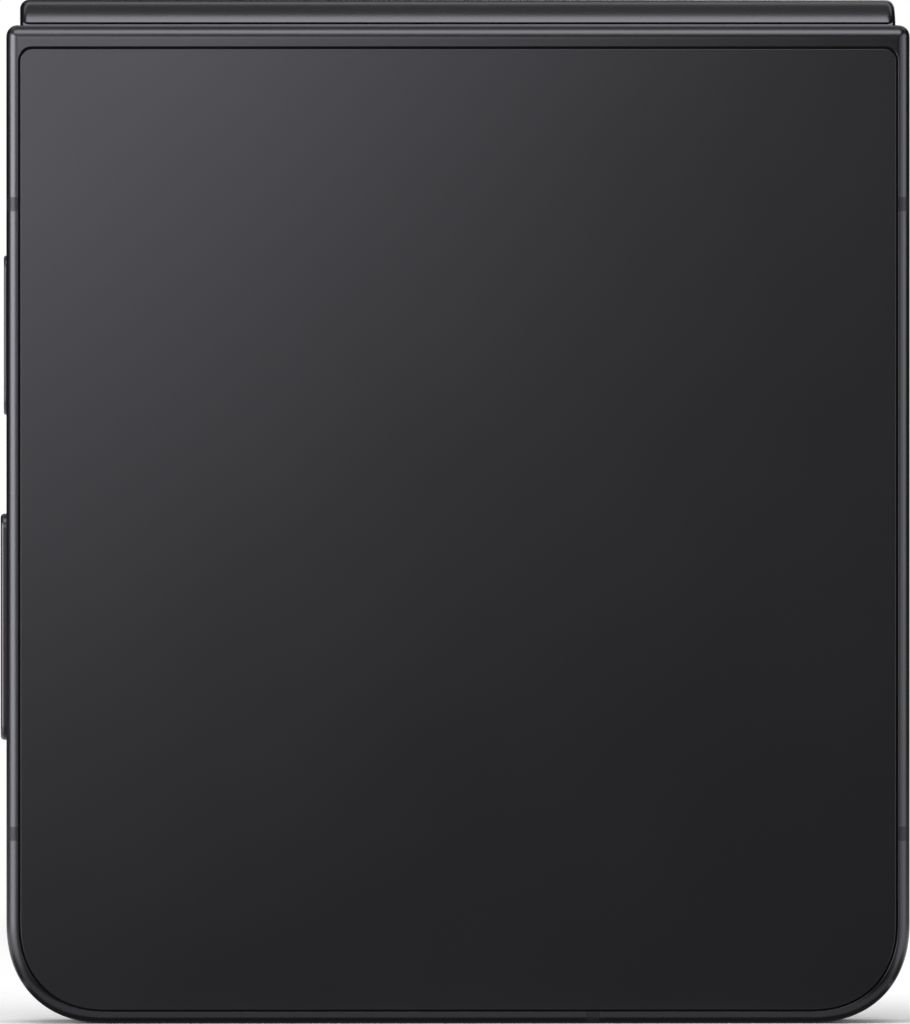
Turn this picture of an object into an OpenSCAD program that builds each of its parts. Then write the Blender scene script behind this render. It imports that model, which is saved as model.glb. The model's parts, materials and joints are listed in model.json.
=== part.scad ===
// Flip phone, shut, standing on its free ends with the hinge on top.
// X runs across the phone, Y runs from the front half to the back half, Z runs up to the hinge.
// A half is drawn with its fold face at v = 0 and its glass at v = half_t, then put on its side of Y = 0.

/* [Body] */
// Width across the frame
body_w = 75.2; // [70:0.1:92]
// Length of one half, from its free end to its hinge edge
half_len = 83.3; // [69:0.1:101]
// Thickness of one half
half_t = 6.5; // [6.3:0.1:8]
// Gap between the two frames when the phone is shut
fold_gap = 0.7; // [0.64:0.02:0.9]
// Corner radius at the free end
corner_r = 7.6; // [6:0.1:10]
// Corner radius beside the hinge
hinge_corner_r = 0.8; // [0.76:0.01:1]
// Rounding of the frame's outer edge
edge_r = 0.7; // [0.4:0.05:0.75]
// Rounding of the frame's edge beside the fold gap
inner_edge_r = 0.3; // [0.1:0.05:0.35]
// Thickness of the frame's side wall
wall_t = 1.6; // [1.2:0.1:2]

/* [Glass] */
// Thickness of the outer glass
glass_t = 0.5; // [0.4:0.05:0.6]
// Thickness of the seal under the glass
seal_t = 0.1; // [0.08:0.01:0.15]
// Width of the frame's face between its edge and the glass seat
rim_w = 0.98; // [0.8:0.02:1.2]
// Width of the dark joint round the glass
joint_w = 0.2; // [0.12:0.01:0.25]
// Distance from the hinge edge to the glass seat
rim_top = 1.8; // [1.6:0.05:2.2]
// Corner radius of the glass beside the hinge
glass_top_r = 0.98; // [0.6:0.01:1.5]
// How far the ledge under the glass reaches in from the frame's edge
ledge_w = 2.8; // [2.4:0.1:3.2]
// Thickness of that ledge
ledge_t = 1; // [0.6:0.1:1.2]

/* [Inner screen] */
// Distance from the frame's edge to the inner screen
screen_inset = 3; // [2.9:0.05:3.4]
// How far the inner screen lies below the frame's fold face
screen_sink = 0.2; // [0.15:0.01:0.25]
// Thickness of the inner screen
screen_t = 0.3; // [0.2:0.01:0.32]
// Thickness of the metal sheet behind the inner screen
backing_t = 0.2; // [0.1:0.01:0.22]
// Length of screen beside the hinge edge that isn't glued down
fold_free = 8; // [7:0.1:10]
// How far the plastic rim stands over the frame's fold face
rim_proud = 0.28; // [0.2:0.01:0.3]
// Distance from the frame's edge to the plastic rim
plastic_inset = 0.5; // [0.4:0.05:0.8]
// How far the plastic rim covers the edge of the inner screen
plastic_lap = 0.2; // [0.1:0.05:0.5]

/* [Hinge] */
// Height of the spine above the hinge edges when shut
spine_rise = 2.05; // [1.8:0.05:2.2]
// Distance from the frame's side to the end of the spine
spine_inset = 1.15; // [0.95:0.01:1.4]
// Wall of the spine cover
spine_t = 0.6; // [0.4:0.05:0.7]
// Radius of the spine's end corners, seen from the front
spine_end_r = 0.65; // [0.3:0.05:1]
// Thickness of each half's lip over the spine
lip_t = 0.9; // [0.75:0.01:1]
// Running gap between the spine and what it turns in
spine_gap = 0.12; // [0.1:0.01:0.2]
// Half of the gap between the hinge edges when the phone is flat
meet_gap = 0.05; // [0.03:0.01:0.1]
// Radius of the hinge shafts
shaft_r = 0.6; // [0.5:0.01:0.65]
// Running clearance on the shafts
shaft_gap = 0.02; // [0.01:0.005:0.04]
// Radius of the knuckles
knuckle_r = 0.95; // [0.85:0.01:0.96]
// Tooth size of the timing gears, as pitch diameter over teeth
gear_module = 0.2; // [0.19:0.005:0.205]
// Face width of the timing gears
gear_w = 0.9; // [0.6:0.05:1]
// Length of the hinge plates down each half
hinge_plate_len = 9.5; // [8:0.1:12]
// Thickness of the hinge plates and mid plates
plate_t = 0.6; // [0.4:0.05:0.7]

/* [Keys] */
// Length of the power key
power_len = 13.3; // [10:0.1:16]
// Height of the power key's middle
power_z = 57.2; // [52:0.1:62]
// How far the power key stands out
power_proud = 0.21; // [0.15:0.01:0.35]
// Length of the volume key
volume_len = 18.9; // [14:0.1:23]
// Height of the volume key's middle
volume_z = 32.85; // [28:0.1:38]
// How far the volume key stands out
volume_proud = 0.48; // [0.3:0.01:0.6]
// Width of both keys
key_w = 2.6; // [2:0.1:3]
// Gap round a key
key_gap = 0.08; // [0.05:0.01:0.15]

/* [Cameras] */
// Radius of the rings round the rear cameras
ring_r = 6; // [5:0.1:7]
// How far the rings stand over the glass
ring_proud = 0.9; // [0.5:0.05:1]
// Distance between the two rear cameras
camera_pitch = 15; // [13:0.1:18]
// Distance from the frame's edge to the outer camera's middle
camera_inset = 10.1; // [9:0.1:12]
// Height of the rear cameras' middles
camera_z = 64.4; // [62:0.1:64.5]
// Radius of the hole in the inner screen for the front camera
front_camera_r = 1.9; // [1.5:0.1:2.5]

/* [Ports] */
// Width of the charging port's mouth
port_w = 8.34; // [8:0.01:8.6]
// Height of the charging port's mouth
port_h = 2.56; // [2.4:0.01:2.8]
// Depth of the charging port
port_len = 7.2; // [6:0.1:8]
// Length of the card tray's face
tray_face_len = 14; // [13:0.1:17]
// Height of the card tray's middle
tray_z = 52; // [50:0.1:56]
// Radius of the microphone holes
mic_r = 0.4; // [0.3:0.05:0.5]

/* [Antenna gaps] */
// Width of the plastic breaks in the frame
break_w = 1.17; // [0.8:0.01:1.5]
// Height of the lower side breaks
break_low_z = 15.8; // [12:0.1:20]
// Height of the upper side breaks
break_high_z = 68.2; // [63:0.1:72]
// Distance of the end break from the middle
break_end_x = 11.2; // [9:0.1:14]

/* [Hidden] */
$fn = 48;
eps = 0.01;
gap2 = fold_gap / 2;
w2 = body_w / 2;
spine2 = w2 - spine_inset;

// The two hinge axes. Both halves and the spine's profile are drawn round them.
axis_u = (half_t - spine_rise + gap2 - lip_t - spine_gap - meet_gap) / 2;
axis_y = axis_u + meet_gap;
axis_v = axis_y - gap2;
axis_z = half_len - axis_u;
spine_r = axis_u + spine_rise;
pocket_r = spine_r + spine_gap;
pocket_z = axis_z - pocket_r;

// Levels through a half, from its fold face to its glass
v_screen = screen_sink + screen_t;
v_backing = v_screen + backing_t;
v_plate = v_backing + 0.2;
v_inside = v_plate + plate_t;
v_glass = half_t - glass_t;
v_seat = v_glass - seal_t;
v_ledge = v_seat - ledge_t;
v_mid = half_t / 2;
layer_gap = 0.1;
fit_gap = 0.05;
// How far a cut reaches past what it cuts
over = 1;

// Heights up a half
beam_t = 1.2;
hollow_r = 1;
plate_corner_r = 0.5;
seal_lap = 0.2;
rim_web_gap = 0.04;
beam_z = pocket_z - beam_t;
glass_top = half_len - rim_top;
fold_z = half_len - fold_free;
plate_z = half_len - 4 - hinge_plate_len;
knuckle_root_z = axis_z - 1.95;
backing_top = axis_z - 1.05;
rim_end_z = axis_z - 0.05;
screen_w = body_w - 2 * screen_inset;

// Spine
cover_edge_z = axis_z + 0.25;
cover_in_r = spine_r - spine_t;
block_y = axis_y + 1.3;
block_z = axis_z - 0.7;
bridge_y = axis_y + 0.9;
slot_y = 1;
loop_rise = axis_y - gap2 - screen_sink - screen_t / 2;
loop_y = gap2 + screen_sink + screen_t / 2;
flex_t = 0.12;
flex_y = gap2 + v_backing + 0.08;
flex_w = 4;
flex_x = 16.5;
flex_rise = loop_rise + screen_t / 2 + flex_t / 2 + 0.1;
flex_z = axis_z - 4;
slot_z = axis_z + flex_rise + flex_t / 2 + 0.215;
bridge_z = slot_z + 0.15;

// Stations along the shafts, on each side of the middle
gear_x0 = screen_w / 2 + 0.15;
end_block_x1 = gear_x0 - 0.25;
end_block_x0 = end_block_x1 - 0.9;
knuckle_x1 = end_block_x0 - 0.2;
knuckle_x0 = knuckle_x1 - 6.2;
brake_len = 1.4;
brake_x1 = knuckle_x0 - 0.05;
mid_block_x0 = 19;
mid_block_x1 = 21;
spring_gap = 0.05;
inner_knuckle_x0 = 8;
inner_knuckle_x1 = 14;
centre_block_x = 1.5;
shaft_x = gear_x0 + gear_w + 0.1;

// Timing gears: the arm gears turn on the hinge axes and the idlers sit above, between them.
// The tooth counts fix the 13 to 8 ratio at which the idlers turn.
arm_teeth = 13;
idler_teeth = 8;
pressure_angle = 20;
tooth_fullness = 0.84;
// Heights of a tooth's sections over the pitch circle, in modules, from root to tip
tooth_levels = [-1.1, -0.6, 0, 0.4, 0.75];
arm_gear_r = gear_module * arm_teeth / 2;
idler_r = gear_module * idler_teeth / 2;
idler_rise = sqrt(pow(arm_gear_r + idler_r, 2) - pow(axis_y - idler_r, 2));
idler_z = axis_z + idler_rise;
mesh_angle = atan2(idler_rise, idler_r - axis_y);
idler_pin_r = 0.28;
idler_phase = mesh_angle + 180 + 180 / idler_teeth;
arm_v0 = axis_v - 0.96;
arm_v1 = axis_v + 0.08;
arm_foot_z0 = plate_z + 0.6;
arm_foot_z1 = plate_z + 4.6;
arm_foot_x = gear_x0 - 4.5;
arm_foot_t = 0.5;
arm_screw_x = arm_foot_x + 1.3;
arm_screw_z = [arm_foot_z0 + 1, arm_foot_z1 - 1];
channel_gap = 0.12;

// Keys: the flange stays inside the wall and presses the domes
key_flange_x = w2 - wall_t - 0.25;
key_flange_t = 0.25;
key_flange_lap = 0.3;
dome_x = key_flange_x - key_flange_t - 0.25;
dome_t = 0.15;
dome_r = 1.2;
key_flex_t = 0.3;

// Cameras
camera_x = [-w2 + camera_inset, -w2 + camera_inset + camera_pitch];
neck_r = ring_r - 1;
lens_r = ring_r - 2;
lens_t = 0.3;
neck_gap = 0.1;
lens_sink = 0.1;
lens_lip = 0.3;
lens_gap = 0.02;
module_w = 10.4;
module_gap = 0.2;
module_v = v_ledge - 0.8;
barrel_r = lens_r - 0.4;
nose_r = lens_r - 1.6;
nose_h = 0.5;
neck_depth = 0.4;
flash_x = camera_x[1] + 10;
flash_r = 1.8;
front_camera_z = 6.1;
front_module_w = 5.2;
front_module_h = 2.8;
front_module_z = [front_camera_z - 2.2, front_camera_z + 2.6];

// Screws
screw_r = 0.5;
screw_head_r = 0.9;
screw_head_t = 0.3;
plate_screw_x = [-24, -10, 10, 24];
plate_screw_z = pocket_z - 2.6;

// Fixed sizes of the pieces inside
port_wall = 0.3;
port_sink = 0.1;
port_room = 0.4;
tongue_sink = 0.9;
tongue_w = 6.69;
tongue_t = 0.7;
battery_w = body_w - 13.2;
lower_battery_z = 21;
upper_battery_z = [9.5, 38.5];
coil_r = 14.5;
coil_in_r = 8;
coil_t = 0.35;
coil_v0 = v_ledge + 0.6;
coil_z = 44;
ferrite_w = 34;
ferrite_t = 0.2;
sub_board_w = body_w - 9.2;
sub_board_t = 0.8;
sub_board_z = [wall_t + 1.2, 19.5];
notch_gap = 0.3;
speaker_z = wall_t + 0.9;
speaker_top = 18;
mesh_lap = 0.8;
mesh_t = 0.2;
motor_z = wall_t + 4.4;
motor_room = 0.4;
mic_w = 3;
mic_h = 1.4;
mic_t = 1;
tray_face_w = 2.4;
tray_face_t = 1;
tray_depth = 14;
tray_body_w = 12.6;
tray_body_t = 0.9;
tray_back = 0.8;
tray_side = 0.6;
tray_floor_v = 0.2;
card_w = 8.8;
eject_r = 0.4;
eject_inset = 1.1;
socket_wall = 0.3;
socket_side = 0.8;
socket_back = 0.7;
socket_room = 0.5;
board_t = 0.8;
board_z = [40, plate_z - 0.4];
speaker_x = [13.5, w2 - 6.6];
speaker_mouth_x = speaker_x + [1, -1.5];
speaker_mouth_v = [v_inside + 0.8, v_ledge - 0.9];
speaker_mouth_depth = 1;
sound_hole_x = 14.5;
slot_pitch = 2.2;
slot_count = 6;
slot_r = 0.55;
motor_x = [-w2 + 4.6, -w2 + 17.6];
board_w = body_w - 2 * wall_t - 3;
board_screw_x = [-24, 14];
board_screw_z = 42;
chips = [[-30, 46, 12], [-15, 45, 9], [-3, 44, 8]];
shield_x = [-32, 17];
shield_z = [43, 58.6];
shield_h = 1.5;
shield_t = 0.15;
chip_t = 1;
battery_room = 0.3;
cover_screen_v = v_ledge + 0.45;
cover_screen_gap = 0.4;
earpiece_w = 12;
earpiece_h = 2.4;
earpiece_slot_w = 9;
earpiece_slot_h = 0.6;
earpiece_z = 2.2;
earpiece_sink = 0.15;
bumper_x = [-w2 + 2, w2 - 2];
bumper_z = [12, 60];
bumper_r = 0.7;
bumper_proud = 0.05;
bumper_seat = 0.15;
bridge_t = 0.5;
boss_r = 1.1;
spine_screw_x = [-30.5, -11, 11, 30.5];
washer_count = 6;
washer_pitch = (brake_x1 - brake_len - mid_block_x1 - spring_gap) / washer_count;
loop_steps = 64;

// ---------- helpers ----------

module upper() translate([0, gap2, 0]) children();
module lower() mirror([0, 1, 0]) translate([0, gap2, 0]) children();
module both_sides() {
    children();
    mirror([1, 0, 0]) children();
}
// Extrudes a shape drawn in (x, v) up Z
module along_z(z0, z1) translate([0, 0, z0]) linear_extrude(z1 - z0) children();
// Extrudes a shape drawn in (v, z) along X
module along_x(x0, x1) translate([x0, 0, 0]) rotate([90, 0, 90]) linear_extrude(x1 - x0) children();
// Extrudes a shape drawn in (x, z) through the thickness
module along_v(v0, v1) translate([0, v1, 0]) rotate([90, 0, 0]) linear_extrude(v1 - v0) children();
module block(x, v, z) translate([x[0], v[0], z[0]]) cube([x[1] - x[0], v[1] - v[0], z[1] - z[0]]);
module rod_v(x, z, r, v0, v1) translate([x, v1, z]) rotate([90, 0, 0]) cylinder(r = r, h = v1 - v0);
module rod_x(y, z, r, x0, x1) translate([x0, y, z]) rotate([0, 90, 0]) cylinder(r = r, h = x1 - x0);
module rod_z(x, y, r, z0, z1) translate([x, y, z0]) cylinder(r = r, h = z1 - z0);

// A half's outline moved in by inset, from its free end up to top
module outline(inset, top, top_r = 0) {
    r = corner_r - inset;
    w = w2 - inset;
    translate([-w, inset + r]) square([2 * w, top - inset - r - top_r]);
    translate([-w + r, inset]) square([2 * (w - r), top - inset - top_r]);
    for (side = [-1, 1]) translate([side * (w - r), inset + r]) circle(r);
    if (top_r > 0) {
        translate([-w + top_r, inset + r]) square([2 * (w - top_r), top - inset - r]);
        for (side = [-1, 1]) translate([side * (w - top_r), top - top_r]) circle(top_r);
    }
}
module ring_outline(inset, inset_in, top, top_in, top_r = 0, top_r_in = 0) difference() {
    outline(inset, top, top_r);
    outline(inset_in, top_in, top_r_in);
}
// A slot with round ends, in (x, v)
module slot(len, width) {
    square([len - width, width], center = true);
    for (side = [-1, 1]) translate([side * (len - width) / 2, 0]) circle(width / 2);
}

// ---------- frames ----------

// Section of the rim in (x, v), from a corner's centre at x = 0 out to the frame's edge at x = r
module rim_section(r) intersection() {
    square([r, half_t]);
    translate([r, 0]) mirror([1, 0]) rim_outline(r);
}
module rim_outline(depth) {
    translate([edge_r, 0]) square([depth, half_t]);
    translate([0, inner_edge_r]) square([edge_r, half_t - edge_r - inner_edge_r]);
    translate([inner_edge_r, 0]) square([edge_r - inner_edge_r, inner_edge_r]);
    translate([edge_r, half_t - edge_r]) circle(edge_r);
    translate([inner_edge_r, inner_edge_r]) circle(inner_edge_r);
}
module rim_corner(r, x, z, start)
    translate([x, 0, z]) rotate([-90, 0, 0]) rotate([0, 0, start])
        rotate_extrude(angle = 90) rim_section(r);
module frame_blank() {
    both_sides() along_z(corner_r, half_len - hinge_corner_r)
        translate([w2 - corner_r, 0]) rim_section(corner_r);
    along_x(-w2 + corner_r, w2 - corner_r)
        translate([0, corner_r]) mirror([0, 1]) mirror([1, -1]) rim_section(corner_r);
    along_x(-w2 + hinge_corner_r, w2 - hinge_corner_r)
        translate([0, half_len - hinge_corner_r]) mirror([1, -1]) rim_section(hinge_corner_r);
    block([-w2 + corner_r, w2 - corner_r], [0, half_t], [corner_r, half_len - hinge_corner_r]);
    rim_corner(corner_r, w2 - corner_r, corner_r, 0);
    rim_corner(corner_r, -w2 + corner_r, corner_r, 90);
    rim_corner(hinge_corner_r, -w2 + hinge_corner_r, half_len - hinge_corner_r, 180);
    rim_corner(hinge_corner_r, w2 - hinge_corner_r, half_len - hinge_corner_r, 270);
}
// The space that the spine turns in, in (v, z)
module pocket_section() {
    translate([axis_v, axis_z]) circle(pocket_r);
    translate([-over, pocket_z]) square([over + axis_v, half_len + over - pocket_z]);
    translate([-over, axis_z]) square([over + axis_v + pocket_r, half_len + over - axis_z]);
}
// Clears the corner that would meet the other half as the phone opens, in (v, z)
module swing_relief_section() difference() {
    translate([-over, axis_z]) square([over + axis_v, axis_u + over]);
    translate([axis_v, axis_z]) circle(axis_u);
}
module frame_shell() difference() {
    frame_blank();
    along_v(v_seat, half_t + over) outline(rim_w, glass_top, glass_top_r + joint_w);
    along_v(v_inside, v_ledge) outline(wall_t, beam_z, hollow_r);
    along_v(v_ledge - eps, v_seat + eps) outline(ledge_w, beam_z, hollow_r);
    along_v(-over, v_inside + eps) outline(screen_inset - fit_gap, beam_z);
    block([-screen_w / 2 - fit_gap, screen_w / 2 + fit_gap], [-over, v_inside],
        [beam_z - over, half_len + over]);
    along_x(-spine2 - spine_gap, spine2 + spine_gap) pocket_section();
    along_x(-w2 - over, w2 + over) swing_relief_section();
    both_sides() block(
        [gear_x0 - channel_gap, gear_x0 + gear_w + channel_gap],
        [arm_v0 - layer_gap, arm_v1 + layer_gap], [plate_z, pocket_z + over]);
    both_sides() block(
        [screen_w / 2 - over, gear_x0 + gear_w + channel_gap],
        [arm_v0 - layer_gap, v_inside + eps], [plate_z, arm_foot_z1 + 2 * layer_gap]);
}
module side_break(side, z)
    block([side > 0 ? w2 - wall_t : -w2 - over, side > 0 ? w2 + over : -w2 + wall_t],
        [-over, half_t + over], [z - break_w / 2, z + break_w / 2]);
module end_break(x)
    block([x - break_w / 2, x + break_w / 2], [-over, half_t + over], [-over, wall_t]);
module antenna_breaks() {
    for (side = [-1, 1], z = [break_low_z, break_high_z]) side_break(side, z);
    end_break(break_end_x);
}
module metal_shell() difference() {
    frame_shell();
    antenna_breaks();
}

// ---------- pieces both halves have ----------

module glass_plate()
    along_v(v_glass, half_t) outline(rim_w + joint_w, glass_top - joint_w, glass_top_r);
module glass_seal() {
    along_v(v_seat, v_glass)
        ring_outline(rim_w, ledge_w - seal_lap, glass_top, beam_z, glass_top_r + joint_w,
            hollow_r);
    along_v(v_glass, v_glass + glass_t / 2)
        ring_outline(rim_w, rim_w + joint_w, glass_top, glass_top - joint_w,
            glass_top_r + joint_w, glass_top_r);
}
module screen_rim() difference() {
    union() {
        along_v(-rim_proud, 0) outline(plastic_inset, rim_end_z);
        along_v(-eps, screen_sink - eps) outline(screen_inset - rim_web_gap, rim_end_z);
    }
    along_v(-over, over) outline(screen_inset + plastic_lap, rim_end_z + over);
    block([-spine2 - spine_gap, spine2 + spine_gap], [0, over], [pocket_z, half_len]);
    block([-spine2 - spine_gap, spine2 + spine_gap], [-over, over],
        [block_z - spine_gap, half_len]);
}
module inner_screen() along_v(screen_sink, v_screen) outline(screen_inset, fold_z);
module screen_backing() along_v(v_screen, v_backing) 
    outline(screen_inset + layer_gap, backing_top);
module mid_plate() 
    along_v(v_plate, v_inside)
        outline(screen_inset + layer_gap, plate_z - layer_gap, plate_corner_r);

// Knuckles on one hinge shaft, and the plate that carries them
module knuckle(x0, x1) {
    block([x0, x1], [v_plate, v_inside - fit_gap], [knuckle_root_z - over, axis_z]);
    rod_x(axis_v, axis_z, knuckle_r, x0, x1);
}
module hinge_plate() difference() {
    union() {
        block([-knuckle_x1, knuckle_x1], [v_plate, v_inside], [plate_z, knuckle_root_z]);
        both_sides() knuckle(knuckle_x0, knuckle_x1);
        both_sides() knuckle(inner_knuckle_x0, inner_knuckle_x1);
    }
    both_sides() rod_x(axis_v, axis_z, shaft_r + shaft_gap, inner_knuckle_x0 - over,
        knuckle_x1 + over);
    for (x = plate_screw_x) rod_v(x, plate_screw_z, screw_r, 0, half_t);
}

// Half the angle that a tooth takes up at radius r, on a gear of pitch radius p
function spread(r, base) = r <= base ? 0 :
    tan(acos(base / r)) * 180 / PI - acos(base / r);
function tooth_half(r, p, teeth) =
    90 / teeth * tooth_fullness + spread(p, p * cos(pressure_angle)) - spread(r, p * cos(pressure_angle));
function tooth_radii(p) = [for (k = [0:len(tooth_levels) - 1])
    max(k == 0 ? 0 : p * cos(pressure_angle), p + tooth_levels[k] * gear_module)];
function polar(r, a) = [r * cos(a), r * sin(a)];
function tooth(mid, p, teeth) = concat(
    [for (r = tooth_radii(p)) polar(r, mid - tooth_half(r, p, teeth))],
    [for (k = [len(tooth_levels) - 1:-1:0])
        polar(tooth_radii(p)[k], mid + tooth_half(tooth_radii(p)[k], p, teeth))]);
module gear_section(teeth, phase) polygon([
    for (i = [0:teeth - 1]) each tooth(phase + i * 360 / teeth, gear_module * teeth / 2, teeth)
]);
// shift is in tooth pitches: a gear with a gap where the other has a tooth is half a pitch on
module gear_arm(shift) difference() {
    union() {
        along_x(gear_x0, gear_x0 + gear_w)
            translate([axis_v, axis_z]) gear_section(arm_teeth, mesh_angle + shift * 360 / arm_teeth);
        block([gear_x0, gear_x0 + gear_w], [arm_v0, arm_v1], [arm_foot_z0, axis_z]);
        block([gear_x0, gear_x0 + gear_w], [arm_v0, v_inside + arm_foot_t],
            [arm_foot_z0, arm_foot_z1]);
        block([arm_foot_x, gear_x0 + gear_w], [v_inside, v_inside + arm_foot_t],
            [arm_foot_z0, arm_foot_z1]);
    }
    rod_x(axis_v, axis_z, shaft_r + shaft_gap, gear_x0 - over, gear_x0 + gear_w + over);
    for (z = arm_screw_z) rod_v(arm_screw_x, z, screw_r, 0, half_t);
}
// One idler of the pair. Its teeth fall in the gaps of the arm gear and of the other idler.
module idler(x0, shift) difference() {
    along_x(x0, x0 + gear_w) translate([idler_r, idler_z])
        gear_section(idler_teeth, idler_phase + shift * 360 / idler_teeth);
    rod_x(idler_r, idler_z, idler_pin_r + shaft_gap, x0 - over, x0 + gear_w + over);
}

module hinge_screws() {
    for (x = plate_screw_x) {
        rod_v(x, plate_screw_z, screw_r, v_plate + fit_gap, v_inside);
        rod_v(x, plate_screw_z, screw_head_r, v_inside, v_inside + screw_head_t);
    }
    both_sides() for (z = arm_screw_z) {
        rod_v(arm_screw_x, z, screw_r, v_inside, v_inside + arm_foot_t);
        rod_v(arm_screw_x, z, screw_head_r, v_inside + arm_foot_t,
            v_inside + arm_foot_t + screw_head_t);
    }
}

// ---------- lower half ----------

module port_cut(grow) along_z(-over, port_len + port_room)
    translate([0, v_mid]) slot(port_w + 2 * grow, port_h + 2 * grow);
module sound_holes() for (i = [0:slot_count - 1])
    rod_z(sound_hole_x + i * slot_pitch, v_mid, slot_r, -over, wall_t + eps);
module mic_hole() rod_z(-break_end_x, v_mid, mic_r, -over, wall_t + eps);
module lower_frame() color("dimgray") lower() difference() {
    metal_shell();
    union() {
        port_cut(port_wall + fit_gap);
        sound_holes();
        mic_hole();
    }
}
module lower_antenna_breaks() color([0.2, 0.2, 0.21]) lower() intersection() {
    frame_shell();
    antenna_breaks();
}
module rear_glass() color([0.16, 0.16, 0.17]) lower() glass_plate();
module rear_glass_seal() color("black") lower() glass_seal();
module lower_screen_rim() color([0.12, 0.12, 0.12]) lower() screen_rim();
module lower_inner_screen() color([0.04, 0.04, 0.05]) lower() inner_screen();
module lower_screen_backing() color("silver") lower() screen_backing();
module lower_mid_plate() color([0.45, 0.46, 0.48]) lower() mid_plate();
module lower_hinge_plate() color("silver") lower() hinge_plate();
module lower_gear_arms() color("gray") lower() both_sides() gear_arm(0.5);
module lower_screws() color("darkgray") lower() hinge_screws();
module lower_battery() color([0.15, 0.15, 0.17]) lower()
    block([-battery_w / 2, battery_w / 2], [v_inside, coil_v0 - ferrite_t - layer_gap],
        [lower_battery_z, plate_z - layer_gap]);
module coil_ferrite() color([0.25, 0.25, 0.27]) lower()
    block([-ferrite_w / 2, ferrite_w / 2], [coil_v0 - ferrite_t, coil_v0],
        [coil_z - ferrite_w / 2, coil_z + ferrite_w / 2]);
module charging_coil() color("peru") lower() difference() {
    rod_v(0, coil_z, coil_r, coil_v0, coil_v0 + coil_t);
    rod_v(0, coil_z, coil_in_r, coil_v0 - over, coil_v0 + coil_t + over);
}
module sub_board() color("darkgreen") lower() difference() {
    block([-sub_board_w / 2, sub_board_w / 2], [v_inside, v_inside + sub_board_t], sub_board_z);
    block([speaker_x[0] - notch_gap, w2], [0, half_t], [0, speaker_top + notch_gap]);
    block([-w2, motor_x[1] + notch_gap], [0, half_t], [0, speaker_top + notch_gap]);
    block([-port_w / 2 - port_wall - notch_gap, port_w / 2 + port_wall + notch_gap],
        [0, half_t], [0, port_len + 2 * layer_gap]);
}
module charging_port() color("lightgray") lower() difference() {
    along_z(port_sink, port_len) translate([0, v_mid])
        slot(port_w + 2 * port_wall, port_h + 2 * port_wall);
    along_z(-over, port_len - port_wall) translate([0, v_mid]) slot(port_w, port_h);
}
module charging_port_tongue() color([0.1, 0.1, 0.1]) lower()
    block([-tongue_w / 2, tongue_w / 2], [v_mid - tongue_t / 2, v_mid + tongue_t / 2],
        [tongue_sink, port_len - port_wall]);
module loudspeaker() color([0.2, 0.2, 0.2]) lower() difference() {
    block(speaker_x, [v_inside, v_ledge - layer_gap], [speaker_z, speaker_top]);
    block(speaker_mouth_x, speaker_mouth_v, [wall_t, speaker_z + speaker_mouth_depth]);
}
module loudspeaker_mesh() color([0.08, 0.08, 0.08]) lower()
    block([sound_hole_x - mesh_lap, sound_hole_x + (slot_count - 1) * slot_pitch + mesh_lap],
        [v_mid - mesh_lap, v_mid + mesh_lap], [wall_t, wall_t + mesh_t]);
module vibration_motor() color("silver") lower()
    block(motor_x, [v_inside, v_ledge - motor_room], [motor_z, speaker_top]);
module microphone() block([-break_end_x - mic_w / 2, -break_end_x + mic_w / 2],
    [v_mid - mic_h / 2, v_mid + mic_h / 2], [wall_t, wall_t + mic_t]);
module bottom_microphone() color("gold") lower() microphone();

// ---------- upper half ----------

module key_slot(z, len) block([-w2 - over, -w2 + wall_t + eps],
    [v_mid - key_w / 2 - key_gap, v_mid + key_w / 2 + key_gap],
    [z - len / 2 - key_gap, z + len / 2 + key_gap]);
module tray_slot() {
    block([w2 - tray_face_t - fit_gap, w2 + over],
        [v_mid - tray_face_w / 2 - fit_gap, v_mid + tray_face_w / 2 + fit_gap],
        [tray_z - tray_face_len / 2 - fit_gap, tray_z + tray_face_len / 2 + fit_gap]);
    block([w2 - wall_t - over, w2 + over],
        [v_mid - tray_body_t / 2 - fit_gap, v_mid + tray_body_t / 2 + fit_gap],
        [tray_z - tray_body_w / 2 - fit_gap, tray_z + tray_body_w / 2 + fit_gap]);
}
module earpiece_slot() block([-earpiece_slot_w / 2, earpiece_slot_w / 2], [-over, v_inside + eps],
    [earpiece_z - earpiece_slot_h / 2, earpiece_z + earpiece_slot_h / 2]);
module upper_frame() color("dimgray") upper() difference() {
    metal_shell();
    union() {
        key_slot(power_z, power_len);
        key_slot(volume_z, volume_len);
        tray_slot();
        earpiece_slot();
        mic_hole();
    }
}
module upper_antenna_breaks() color([0.2, 0.2, 0.21]) upper() intersection() {
    frame_shell();
    antenna_breaks();
}
module cover_glass() color([0.16, 0.16, 0.17]) upper() difference() {
    glass_plate();
    for (x = camera_x) rod_v(x, camera_z, neck_r + neck_gap, 0, half_t + over);
}
module cover_glass_seal() color("black") upper() glass_seal();
module cover_screen() color([0.05, 0.05, 0.06]) upper() difference() {
    along_v(cover_screen_v, v_glass)
        outline(ledge_w + layer_gap, beam_z - cover_screen_gap, hollow_r);
    for (x = camera_x) rod_v(x, camera_z, neck_r + neck_gap, 0, half_t + over);
    rod_v(flash_x, camera_z, flash_r + neck_gap, 0, half_t + over);
}
module upper_screen_rim() color([0.12, 0.12, 0.12]) upper() difference() {
    screen_rim();
    earpiece_slot();
    for (x = bumper_x, z = bumper_z)
        rod_v(x, z, bumper_r + fit_gap, -over, -rim_proud + bumper_seat);
}
module screen_bumpers() color([0.06, 0.06, 0.06]) upper()
    for (x = bumper_x, z = bumper_z)
        rod_v(x, z, bumper_r, -rim_proud - bumper_proud, -rim_proud + bumper_seat);
module front_camera_hole() rod_v(0, front_camera_z, front_camera_r, -over, half_t);
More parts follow.
